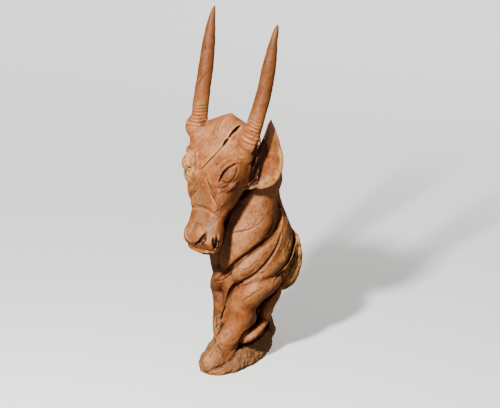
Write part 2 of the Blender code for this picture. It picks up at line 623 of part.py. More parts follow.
def far_line(tree, rows):
    rows = dense(rows, 1.5)
    places, outs, kept = [], [], []
    for row in rows:
        turn = math.radians(row[0])
        out = np.array([math.sin(turn), -math.cos(turn), 0.0])
        x, y = trunk_middle(row[1])[:2]
        hit = tree.ray_cast(Vector(np.array([x, y, row[1]]) + 60 * out), Vector(-out))[0]
        if hit is not None:
            places.append(hit)
            outs.append(out)
            kept.append(row[2:])
    return np.array(places), np.array(outs), np.array(kept)


def carve(points, normals, places, outs, rows):
    """Presses the points inwards along a line, each side over its own width."""
    reach = rows[:, :2].max() + 0.5
    near = np.all((points > places.min(axis=0) - reach) & (points < places.max(axis=0) + reach), axis=1)
    index = np.flatnonzero(near)
    some = points[index]
    best = np.full(len(some), np.inf)
    press = np.zeros((len(some), 3))
    for k in range(len(places) - 1):
        start, step = places[k], places[k + 1] - places[k]
        length = np.linalg.norm(step)
        if length > 2.5 or length < 1e-6:
            continue
        share = np.clip((some - start) @ step / length**2, 0, 1)
        offset = some - start - share[:, None] * step
        distance = np.linalg.norm(offset, axis=1)
        row = rows[k] + share[:, None] * (rows[k + 1] - rows[k])
        left = offset @ np.cross(outs[k], step) > 0
        width = np.where(left, row[:, 0], row[:, 1])
        fall = np.clip(1 - distance / width, 0, 1)
        depth = row[:, 2] * fall**2 * (3 - 2 * fall) * (normals[index] @ outs[k] > -0.2)
        closer = distance < best
        best = np.where(closer, distance, best)
        press[closer] = -depth[closer, None] * outs[k]
    points[index] += press


def carve_all(obj):
    mesh = obj.data
    points, normals = np.empty(3 * len(mesh.vertices)), np.empty(3 * len(mesh.vertices))
    mesh.vertices.foreach_get("co", points)
    mesh.vertices.foreach_get("normal", normals)
    points, normals = points.reshape(-1, 3) / UNIT, normals.reshape(-1, 3)
    tree = BVHTree.FromPolygons(points.tolist(), [tuple(polygon.vertices) for polygon in mesh.polygons])
    lines = [show_line(tree, rows) for rows in SHOW_CUTS.values()]
    lines += [far_line(tree, rows) for rows in FAR_CUTS.values()]
    for rows in HEAD_CUTS.values():
        places, outs, widths = show_line(tree, rows)
        mirror = np.array([-1, 1, 1])
        lines += [(places, outs, widths), (places * mirror, outs * mirror, widths[:, [1, 0, 2]])]
    for places, outs, widths in lines:
        carve(points, normals, places, outs, widths)
    mesh.vertices.foreach_set("co", (points * UNIT).ravel())
    mesh.update()


def fuse(obj, voxel, rounds):
    """Fuses the overlapping forms into one skin and softens the grid's steps."""
    remesh = obj.modifiers.new("Fuse", "REMESH")
    remesh.mode = "VOXEL"
    remesh.voxel_size = voxel
    soften = obj.modifiers.new("Soften", "SMOOTH")
    soften.factor = 0.5
    soften.iterations = rounds
    bake(obj)


def bake(obj):
    """Applies the object's modifiers."""
    graph = bpy.context.evaluated_depsgraph_get()
    mesh = bpy.data.meshes.new_from_object(obj.evaluated_get(graph))
    obj.modifiers.clear()
    obj.data = mesh


def thin_out(obj, triangles):
    have = sum(len(polygon.vertices) - 2 for polygon in obj.data.polygons)
    fewer = obj.modifiers.new("Fewer", "DECIMATE")
    fewer.ratio = min(1, triangles / have)
    bake(obj)


def stand_flat(obj):
    """Cuts the root flat on the floor."""
    bm = bmesh.new()
    bm.from_mesh(obj.data)
    cut = bmesh.ops.bisect_plane(bm, geom=bm.verts[:] + bm.edges[:] + bm.faces[:], dist=1e-6,
                                 plane_co=(0, 0, 0), plane_no=(0, 0, -1), clear_outer=True)
    edges = [item for item in cut["geom_cut"] if isinstance(item, bmesh.types.BMEdge)]
    bmesh.ops.holes_fill(bm, edges=edges)
    bmesh.ops.triangulate(bm, faces=bm.faces)
    bm.to_mesh(obj.data)
    bm.free()


def wood():
    material = bpy.data.materials.new("weathered red-brown wood")
    material.use_nodes = True
    shader = material.node_tree.nodes["Principled BSDF"]
    shader.inputs["Base Color"].default_value = (0.44, 0.22, 0.11, 1)
    shader.inputs["Roughness"].default_value = 0.5
    shader.inputs["Metallic"].default_value = 0.0
    return material


def make_carving(voxel, rounds):
    mesh = mesh_of("antelope_head_carving", all_forms())
    carving = bpy.data.objects.new("antelope_head_carving", mesh)
    collection = bpy.data.collections.new("Driftwood antelope head")
    bpy.context.scene.collection.children.link(collection)
    collection.objects.link(carving)
    fuse(carving, voxel, rounds)
    carve_all(carving)
    fuse(carving, voxel, 1)
    return carving


def main():
    for obj in list(bpy.data.objects):
        bpy.data.objects.remove(obj)
    carving = make_carving(VOXEL, 3)
    thin_out(carving, TRIANGLES)
    stand_flat(carving)
    carving.data.materials.append(wood())
    carving.data.shade_smooth()
    carving.data.set_sharp_from_angle(angle=math.radians(50))


main()
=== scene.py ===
# Driftwood antelope head: the horned head and arched neck of an antelope, carved from one piece
# of driftwood that stands on its own rough root.
# The face looks along -Y, the animal's left is +X, and the root stands on z = 0.

import json
import math

import bpy
import numpy as np
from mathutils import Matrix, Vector, noise
from mathutils.bvhtree import BVHTree

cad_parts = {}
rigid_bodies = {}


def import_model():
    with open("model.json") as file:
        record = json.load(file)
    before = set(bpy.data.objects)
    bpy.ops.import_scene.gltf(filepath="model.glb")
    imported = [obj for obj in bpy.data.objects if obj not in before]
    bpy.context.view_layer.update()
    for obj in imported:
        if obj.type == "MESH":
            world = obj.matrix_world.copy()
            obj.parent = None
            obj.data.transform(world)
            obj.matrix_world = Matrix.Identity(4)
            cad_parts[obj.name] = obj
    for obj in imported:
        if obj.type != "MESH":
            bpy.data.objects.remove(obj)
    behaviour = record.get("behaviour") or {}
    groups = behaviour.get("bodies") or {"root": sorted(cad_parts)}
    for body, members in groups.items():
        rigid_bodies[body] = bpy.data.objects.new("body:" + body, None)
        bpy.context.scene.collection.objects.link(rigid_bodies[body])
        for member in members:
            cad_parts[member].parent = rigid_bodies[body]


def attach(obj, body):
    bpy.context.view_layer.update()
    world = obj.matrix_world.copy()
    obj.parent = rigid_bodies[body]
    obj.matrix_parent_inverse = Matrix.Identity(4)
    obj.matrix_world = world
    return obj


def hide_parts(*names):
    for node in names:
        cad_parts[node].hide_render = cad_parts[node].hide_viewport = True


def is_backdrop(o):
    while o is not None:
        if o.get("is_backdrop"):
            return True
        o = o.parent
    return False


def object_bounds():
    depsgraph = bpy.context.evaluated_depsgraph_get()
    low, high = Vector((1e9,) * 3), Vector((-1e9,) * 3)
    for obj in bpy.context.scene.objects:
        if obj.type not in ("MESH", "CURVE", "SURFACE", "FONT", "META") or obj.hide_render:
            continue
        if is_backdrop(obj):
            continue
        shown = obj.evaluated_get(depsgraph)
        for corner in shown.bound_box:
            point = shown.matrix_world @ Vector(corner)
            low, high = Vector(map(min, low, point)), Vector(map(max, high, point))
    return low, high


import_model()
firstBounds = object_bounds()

carvingValues = {
    "crownHeight": 0.80,
    "hornLength": 0.34,
    "hornRadius": 0.0245,
    "ringSpacing": 0.0090,
    "ringRelief": 0.0015,
    "earLength": 0.232,
    "earHalfWidth": 0.037,
    "earWall": 0.011,
    "rootLength": 0.375,
    "rootWidth": 0.175,
    "rootHeight": 0.085,
    "firstVoxel": 0.0032,
    "secondVoxel": 0.0021,
    "triangles": 194000,
    "hollowRays": 14,
    "hollowReach": 9.0,
}

# The layout is drawn in hundredths of the whole height
crownPlace = 72.5
unit = carvingValues["crownHeight"] / crownPlace

# The carving is laid out from its show side: 42 degrees round to its left, 20 degrees above.
# A place is read in that view as picture x and y, and how near it is to the viewer.
viewTurn = math.radians(42)
viewRise = math.radians(20)
pictureOrigin = (237, 358)
pictureScale = 3.6
rightWay = np.array([math.cos(viewTurn), math.sin(viewTurn), 0.0])
nearWay = np.array([
    math.sin(viewTurn) * math.cos(viewRise),
    -math.cos(viewTurn) * math.cos(viewRise),
    math.sin(viewRise),
])
upWay = np.cross(nearWay, rightWay)
grainWay = 0.66 * rightWay + 0.75 * upWay  # the grain runs up and to the right of the show side

# Trunk and neck: height, centre x, centre y, half width, half depth
trunkStations = [
    (3, -1.2, 2.5, 5, 9.5), (8, -1.4, 3.4, 4.4, 8), (13, -1, 3.6, 4.4, 7), (18, -0.4, 6, 6, 9.2),
    (24, 0.4, 7.4, 8.4, 11.8), (30, 0.4, 7.6, 9, 11.8), (36, 0.2, 7, 8, 10), (42, 0, 6, 6.9, 8),
    (46, 0, 6, 6.8, 7.8), (50, 0, 6.4, 7.2, 9.5), (55, 0, 5, 7.4, 9.5), (60, 0, 1.5, 7.6, 7.2),
    (66, 0, -1.5, 7.4, 5.4), (69, 0, -2.8, 5.4, 3.4),
]

# Lines down the left half of the head, each as height, x and y
headLines = {
    "middle of the face": [
        (72.8, 0, -2.6), (72, 0, -3.6), (70, 0, -5.4), (66, 0, -8.6), (62, 0, -11.4), (59, 0, -13),
        (56.5, 0, -13.7), (54, 0, -13.7), (50, 0, -13.8), (47, 0, -14.2), (44, 0, -15.4),
        (41.5, 0, -17.4), (39.8, 0, -18), (38.4, 0, -17.2), (37.2, 0, -16.6), (36, 0, -16.5),
        (34.8, 0, -15.4), (34, 0, -14.2),
    ],
    "inner face": [
        (72.8, 0.3, -2.6), (72, 1.2, -3), (70, 4, -4.2), (66, 5.4, -7.6), (62, 5.6, -10.7),
        (59, 5, -12.4), (56.5, 4, -13.2), (54, 3.2, -13.4), (50, 3.8, -13.8), (47, 3.4, -14.1),
        (44, 3.2, -15.2), (41.5, 3.2, -17.1), (39.8, 3.2, -17.6), (38.4, 3.2, -16.9), (37.2, 3.1, -16.2),
        (36, 3, -16), (34.8, 2.6, -15), (34, 1.6, -14.2),
    ],
    "brow and cheek": [
        (72.8, 0.5, -2.5), (72, 1.8, -2.6), (70, 5.8, -3.2), (68, 8.6, -4.9), (66, 9.4, -6.8),
        (63.7, 9.2, -9), (62, 9.1, -10.6), (58, 8.9, -11.8), (55.6, 8.2, -12), (54, 7.5, -12.3),
        (50.9, 6.8, -12.8), (49.3, 5.9, -12.9), (47.8, 5.2, -13.2), (46, 5, -13.1), (44.4, 5, -13.9),
        (43, 5, -14.7), (41.3, 5.1, -15.4), (39.9, 5.1, -16.4), (38, 5, -15.8), (37, 4.8, -15.1),
        (35.8, 4.6, -14.7), (34.8, 3.8, -14.2), (34, 2.4, -13.8),
    ],
    "side": [
        (72.8, 0.5, -2.4), (72, 1.8, -2.3), (70, 6.2, -2.8), (68, 9.2, -3.8), (66, 10.2, -5.2),
        (62, 10.2, -7.2), (58, 9.8, -8.2), (53.6, 8.4, -8.8), (49, 6.8, -10.5), (45.7, 5.6, -12),
        (41, 5.6, -13.2), (38, 5.4, -13.2), (36, 4.8, -13.6), (34.8, 3.8, -13.4), (34, 2.2, -13.2),
    ],
    "jaw": [
        (72.8, 0.3, -2.2), (72, 1.4, -1.8), (70, 5, -0.8), (66, 8.4, 0), (60, 8.8, -0.2), (56, 8.2, -1.4),
        (53.6, 7.4, -4.2), (49, 6.2, -7.8), (45.7, 5.1, -10.6), (41, 4.8, -11), (38.3, 4.7, -11.5),
        (36, 4.2, -12.5), (34.8, 3, -12.6), (34, 1.6, -12.8),
    ],
    "back": [
        (72.8, 0, -2), (72, 0, -1.4), (70, 0, 0.2), (66, 0, 2), (60, 0, 2), (56, 0, 0), (53.6, 0, -3),
        (49, 0, -6.8), (45.7, 0, -9.2), (41, 0, -10.2), (38.3, 0, -10.8), (36, 0, -12), (34.8, 0, -12.4),
        (34, 0, -12.8),
    ],
}

# Flowing strands on the show side: picture x, picture y, half width in picture steps,
# lift of the centre line off the trunk, half thickness
showStrands = {
    "shoulder lobe": [
        (268, 176, 12, 0, 2), (262, 196, 17, 0.2, 2.6), (252, 218, 21, 0.4, 3.2),
        (242, 238, 17, 0.9, 3.2), (232, 254, 12, 0.9, 2.6), (223, 266, 8, 0.6, 2),
    ],
    "neck band": [
        (285, 216, 9, 0, 1.8), (282, 236, 15, 0.3, 2), (272, 253, 19, 0.5, 2.2), (257, 267, 17, 0.9, 2.3),
        (244, 276, 11, 1, 2), (235, 282, 6, 0.6, 1.4),
    ],
    "chest lobe": [
        (230, 205, 8, 0, 2), (225, 228, 11, 0.3, 2.4), (220.5, 250, 11, 0.6, 2.6),
        (219, 264, 10, 0.7, 2.4), (221, 275, 8, 0.5, 1.8),
    ],
    "long strand": [
        (280, 208, 6, 0, 1.6), (276, 230, 7, 0.2, 2), (265, 247, 9, 0.6, 2.4), (250, 263, 9.5, 1, 2.6),
        (240, 273, 8, 1.2, 2.4), (233, 280, 5, 1, 1.8),
    ],
    "back strand": [
        (286, 222, 6, 0, 1.6), (286, 238, 7.5, 0.2, 2), (280, 255, 9.5, 0.5, 2.3),
        (268, 267, 9.5, 0.8, 2.5), (256, 276, 8, 0.8, 2.4), (246, 283, 5, 0.5, 1.6),
    ],
    "flake bed": [
        (291, 228, 3, 0.2, 1.4), (290, 240, 5, 0.5, 1.9), (287, 252, 6, 0.7, 2.1),
        (281, 264, 5.5, 0.8, 2), (274, 273, 4, 0.6, 1.5),
    ],
    "thigh": [
        (285, 273, 8, 0.6, 2.2), (271, 281, 12, 1, 3), (256, 289, 14, 1.6, 3.8), (244, 302, 13.5, 2.4, 4),
        (242, 314, 13, 3, 3.8), (237, 326, 12, 3.4, 3.2), (229.5, 338, 10.5, 3.6, 2.8),
        (224.8, 347, 11, 3.6, 2.7), (220.4, 354.6, 11.5, 3.3, 2.4), (214.6, 361, 11.5, 2.8, 2),
        (209, 366, 10.5, 2.2, 1.5), (204.4, 369.6, 7, 1.6, 0.9),
    ],
    "knee": [
        (256, 305, 4, 2.2, 2.2), (250, 313, 6, 2.6, 2.8), (249, 319, 6, 2.8, 2.6), (244, 325, 4, 2.8, 2),
    ],
    "tendon": [
        (280, 287, 4.5, 1.2, 2), (273, 296, 5.5, 2.4, 2.2), (267.5, 304, 6, 3.6, 2.4),
        (265, 312, 6, 4.4, 2.4), (262.5, 320, 5, 4.8, 2.2), (258.5, 326.5, 4.2, 4.8, 2),
        (252, 334, 5.2, 4.6, 2), (245.5, 340, 4.2, 4.4, 1.5), (240, 344, 2, 3.8, 0.9),
    ],
    "front mass": [
        (223, 272, 11, 0.2, 2.4), (219, 284, 10.5, 0.6, 2.6), (221.6, 300, 8.8, 1, 2.5),
        (221, 318, 8.2, 1.4, 2.4), (219.6, 334, 7, 1.5, 2), (218.6, 344, 5, 0.8, 1.2),
    ],
    "bark flake": [
        (295, 231, 2.2, 1, 1.4), (296, 246, 2.8, 1.2, 1.7), (295, 260, 5, 1.2, 2.1),
        (291, 271, 8.2, 1.3, 2.5), (287, 282, 8.6, 0.9, 2.3), (281.5, 291, 4.6, 0.5, 1.4),
    ],
}

# Strands on the hidden sides: angle round the trunk from the front, height, half width,
# lift and half thickness
farStrands = {
    "nape ridge": [
        (180, 60, 2.4, -1.4, 1.8), (176, 53, 3, -1.2, 2), (166, 46, 3.4, -1, 2.2),
        (156, 38, 3.4, -0.7, 2.2), (148, 31, 3, -0.3, 2), (140, 25, 2.2, 0, 1.6),
    ],
    "far shoulder lobe": [
        (262, 52, 3.4, 0, 2.2), (270, 44, 4.4, 0.4, 2.6), (284, 36, 4.8, 0.6, 2.8),
        (300, 29, 4, 0.8, 2.6), (314, 24, 2.6, 0.6, 1.8),
    ],
    "far long strand": [
        (228, 50, 2.6, 0, 1.8), (234, 40, 3.4, 0.4, 2.3), (246, 31, 3.6, 0.6, 2.4),
        (264, 23, 3.4, 0.8, 2.3), (286, 16, 2.8, 1.3, 2), (304, 9, 2, 1.4, 1.5),
    ],
    "spine strand": [
        (200, 48, 2.8, -0.8, 1.8), (202, 38, 3.6, -0.4, 2.1), (210, 29, 3.8, 0.1, 2.3),
        (222, 20, 3.4, 0.8, 2.4), (236, 12, 2.8, 1.4, 2.2), (250, 5, 2.4, 1.6, 1.8),
    ],
    "back root": [
        (176, 28, 2.8, -1.2, 1.9), (180, 20, 3.2, -0.8, 2), (186, 13, 3.2, 0, 2.1),
        (188, 7, 3.6, 1.1, 2.4), (184, 1, 4.2, 2, 2.6),
    ],
}

# Rounded masses on the left half of the head, mirrored to the right half:
# middle, the three half sizes, and the turn of the longest in the show view, in degrees
headMasses = {
    "eyeball": ((7.9, -11.2, 58.8), (2.5, 1.9, 1.9), 46),
    "upper lid": ((7.2, -10.9, 61.2), (4, 1.1, 1.5), 44),
    "lower lid": ((8.2, -10.8, 56.1), (3, 0.9, 1.3), 46),
    "horn boss": ((10.3, -5.8, 67.8), (2.9, 3.4, 2.6), 0),
    "ear foot": ((9, -3.3, 54.1), (2.9, 1, 1.5), 17),
    "nose pad": ((0.2, -14.4, 41), (4.1, 3.9, 2.9), 0),
    "nostril wing": ((3.8, -14.2, 40.4), (2.4, 1.9, 2.2), 30),
}

# Lines carved into the show side: picture x and y, width to the left and to the right of
# the line's own way in picture steps, and depth. Here and below, a row with one value fewer
# has the same width on both sides.
showCuts = {
    "under the shoulder lobe": [
        (277.6, 200, 4, 2, 0.3), (278.4, 210, 5.5, 2, 1), (278, 218, 6.5, 2, 1.4),
        (274.4, 229, 7, 2, 1.7), (268.7, 237, 7, 2, 1.7), (259, 243.4, 6.5, 2, 1.5),
        (249, 251, 6.5, 2, 1.4), (240, 257.6, 6, 2, 1.3), (229, 268, 5, 2.5, 1.1),
        (222, 276, 4, 2.5, 0.8), (215, 282, 3.5, 2.5, 0.4),
    ],
    "under the long strand": [
        (281, 232, 2, 1.5, 0.2), (278.3, 242.3, 3, 1.6, 0.5), (273, 252, 3.5, 1.6, 0.7),
        (267, 261.4, 3.5, 1.8, 0.8), (259.8, 269, 3.5, 2, 0.9), (253, 275, 3.5, 2, 1),
        (244, 281, 3, 2, 0.8),
    ],
    "beside the flake": [
        (292, 226, 1.5, 2, 0.3), (293.6, 233, 2, 3, 1.4), (293.8, 243, 2.4, 3.4, 2),
        (291.4, 253.5, 2.4, 3.4, 1.8), (288, 261.5, 2.2, 3, 1.5), (283, 267.5, 2, 2.4, 1.1),
        (277, 272, 2, 0.5), (271, 278, 1.5, 2, 0.2),
    ],
    "above the thigh": [
        (264, 272.5, 1.5, 2, 0.3), (253.6, 275.3, 2.4, 1), (242, 281.5, 2.8, 1.6), (235.7, 284.6, 3, 1.9),
        (231.3, 290, 3, 1.9), (228.6, 296, 2.6, 2.8, 1.6), (226, 301.6, 2.2, 2.4, 1.3),
        (224.5, 308.4, 2, 2.2, 1.2), (223, 313, 1.8, 1), (221, 319, 1.5, 0.5),
    ],
    "behind the shin": [
        (276, 291, 1.8, 0.5), (271, 296, 2, 1.2), (265, 300.5, 2, 1.8), (259, 305, 2.2, 2.2),
        (256.5, 311, 2.2, 2.4), (258, 318, 2.2, 2.4), (256, 323.5, 2.2, 2.4), (249.6, 328, 2.4, 2.4),
        (244, 333.5, 2.4, 2.2), (239.5, 340, 2.4, 1.8), (236, 345, 2, 1),
    ],
    "under the tendon": [
        (269, 321, 2.5, 2, 1.2), (266, 329, 3, 2.5, 1.8), (261, 336.5, 3, 2.5, 2),
        (252, 342.5, 3, 2.5, 1.8), (243, 345.5, 2.5, 1.2), (238, 347, 2, 0.6),
    ],
    "round the toe": [
        (238, 344, 3, 1.5, 0.6), (235.4, 351, 4, 2, 0.8), (231.6, 358, 4, 2, 0.8),
        (223.4, 364.4, 4, 2, 0.7), (214, 368.4, 3, 2, 0.5), (208, 371, 2, 1.5, 0.2),
    ],
    "before the shin": [
        (226, 316, 1.5, 2.5, 0.4), (222.4, 328, 2, 3, 0.6), (216.5, 338.5, 2, 3, 0.5),
        (212, 347, 2, 3, 0.2),
    ],
}

# Lines carved into the left half of the head and mirrored to the right half
headCuts = {
    "under the jaw": [
        (258, 184, 2, 0.4), (247, 189, 4, 2, 1.2), (241, 199, 6, 2, 1.6), (235.5, 208, 7, 2, 1.8),
        (229.5, 216, 7, 2, 1.8), (225, 224, 5, 2, 1.4),
    ],
    "cheek line": [
        (207, 179.6, 1.6, 1.2, 0.3), (209.4, 186.5, 3.4, 1.6, 0.8), (213.4, 196, 4, 1.8, 1),
        (218, 204, 3.4, 1.8, 0.9), (222.4, 212, 2, 1.5, 0.3),
    ],
    "upper eyelid line": [
        (217.5, 186, 1.2, 0.3), (220.5, 179.5, 1.6, 2, 0.7), (224.5, 172.8, 1.6, 2, 0.8),
        (229.5, 168.2, 1.6, 2, 0.7), (236, 165, 1.2, 1.4, 0.3),
    ],
    "lower eyelid line": [
        (236.8, 168, 1.2, 0.2), (236.8, 174, 1.5, 0.5), (234, 180, 1.6, 1.5, 0.6),
        (229, 183, 1.6, 1.5, 0.5), (222.6, 182.4, 1.2, 0.3),
    ],
    "nose line": [
        (195.3, 204.6, 2.4, 1.2, 0.3), (204, 208, 2.8, 1.2, 0.5), (212, 212.4, 2.8, 1.2, 0.5),
        (219.5, 217.4, 2, 1.2, 0.3),
    ],
    "nostril": [
        (207.4, 232, 1.6, 0.4), (205, 236, 2.2, 1.5), (201.4, 240.5, 2.4, 1.6), (196.4, 243.4, 1.6, 0.5),
    ],
    "corner of the mouth": [
        (217.6, 234.5, 1.6, 0.4), (217, 239, 2.6, 1.5), (216, 244.5, 2.8, 1.6), (214.6, 248.4, 1.8, 0.6),
    ],
    "mouth": [
        (189.8, 245.2, 1.2, 0.15), (196, 247.6, 1.4, 0.35), (204, 249.2, 1.4, 0.4), (212, 250, 1.4, 0.35),
        (217.6, 250.6, 1.2, 0.15),
    ],
    "ear root": [
        (259, 141, 2, 0.5), (256, 150, 2.5, 3, 1.4), (254, 160, 2.5, 3, 1.8), (252.5, 170, 2.5, 1.6),
        (250.5, 179, 2, 0.8),
    ],
}

# Lines carved into the hidden sides: angle round the trunk, height, widths and depth
farCuts = {
    "under the far shoulder": [
        (246, 48, 1.4, 0.8, 0.3), (256, 40, 2.4, 0.9, 1.1), (274, 32, 2.6, 0.9, 1.2),
        (292, 25, 2.2, 0.9, 1.1), (310, 20, 1.4, 0.7, 0.4),
    ],
    "between the far strands": [
        (214, 46, 0.8, 0.3), (220, 36, 1.2, 1, 1), (232, 27, 1.2, 1, 1.2), (248, 19, 1.2, 1, 1.3),
        (268, 12, 1, 1), (284, 7, 0.8, 0.4),
    ],
    "beside the spine": [
        (188, 50, 0.8, 0.3), (186, 40, 1.2, 1, 1), (190, 30, 1.2, 1, 1.2), (200, 21, 1.2, 1, 1.4),
        (214, 13, 1, 1.2), (226, 7, 0.8, 0.5),
    ],
    "beside the nape": [
        (160, 56, 0.8, 0.3), (154, 47, 1.2, 1, 0.9), (144, 38, 1.2, 1, 1.1), (134, 30, 1, 0.8),
        (126, 25, 0.8, 0.3),
    ],
}


# Middle lines of the horns from inside the skull to the tip, as x, y and height
hornLines = {
    "left": [
        (8, -6.2, 62.5), (9.4, -5.6, 66.6), (10, -4.5, 70.4), (10.3, -2.5, 75.4), (10.6, -0.7, 80.3),
        (11.1, 1.4, 89.8), (11.4, 2.4, 94.8), (11.7, 3.8, 99.6),
    ],
    "right": [
        (-8, -6, 62.5), (-9.5, -5.2, 66.4), (-10.1, -4.2, 69.6), (-10.4, -2.9, 75.6), (-10.7, -0.7, 84),
        (-11.1, 1.2, 92.3), (-11.3, 2.3, 96.6), (-11.5, 3.8, 100.2),
    ],
}
hornTaper = [
    (-0.35, 0.7), (-0.24, 1.25), (-0.16, 1.22), (-0.05, 1.06), (0, 1.03), (0.3, 0.98), (0.55, 0.9),
    (0.68, 0.78), (0.78, 0.62), (0.85, 0.49), (0.92, 0.36), (0.97, 0.2), (1, 0.05),
]
ringsAbove = 4  # rings of the shaft above the foot of the horn

# Left ear, root to tip: x, y, height, share of the half width
earStations = [
    (8.65, -3.15, 54.4, 0.38), (10.4, -1.2, 57.6, 0.96), (11.6, 0, 61.7, 0.96), (12.1, 0.2, 66.1, 0.62),
    (12.5, 0, 70.1, 0.32), (12.9, -0.3, 74.4, 0.05),
]
earOpening = (0.76, -0.64, 0.10)

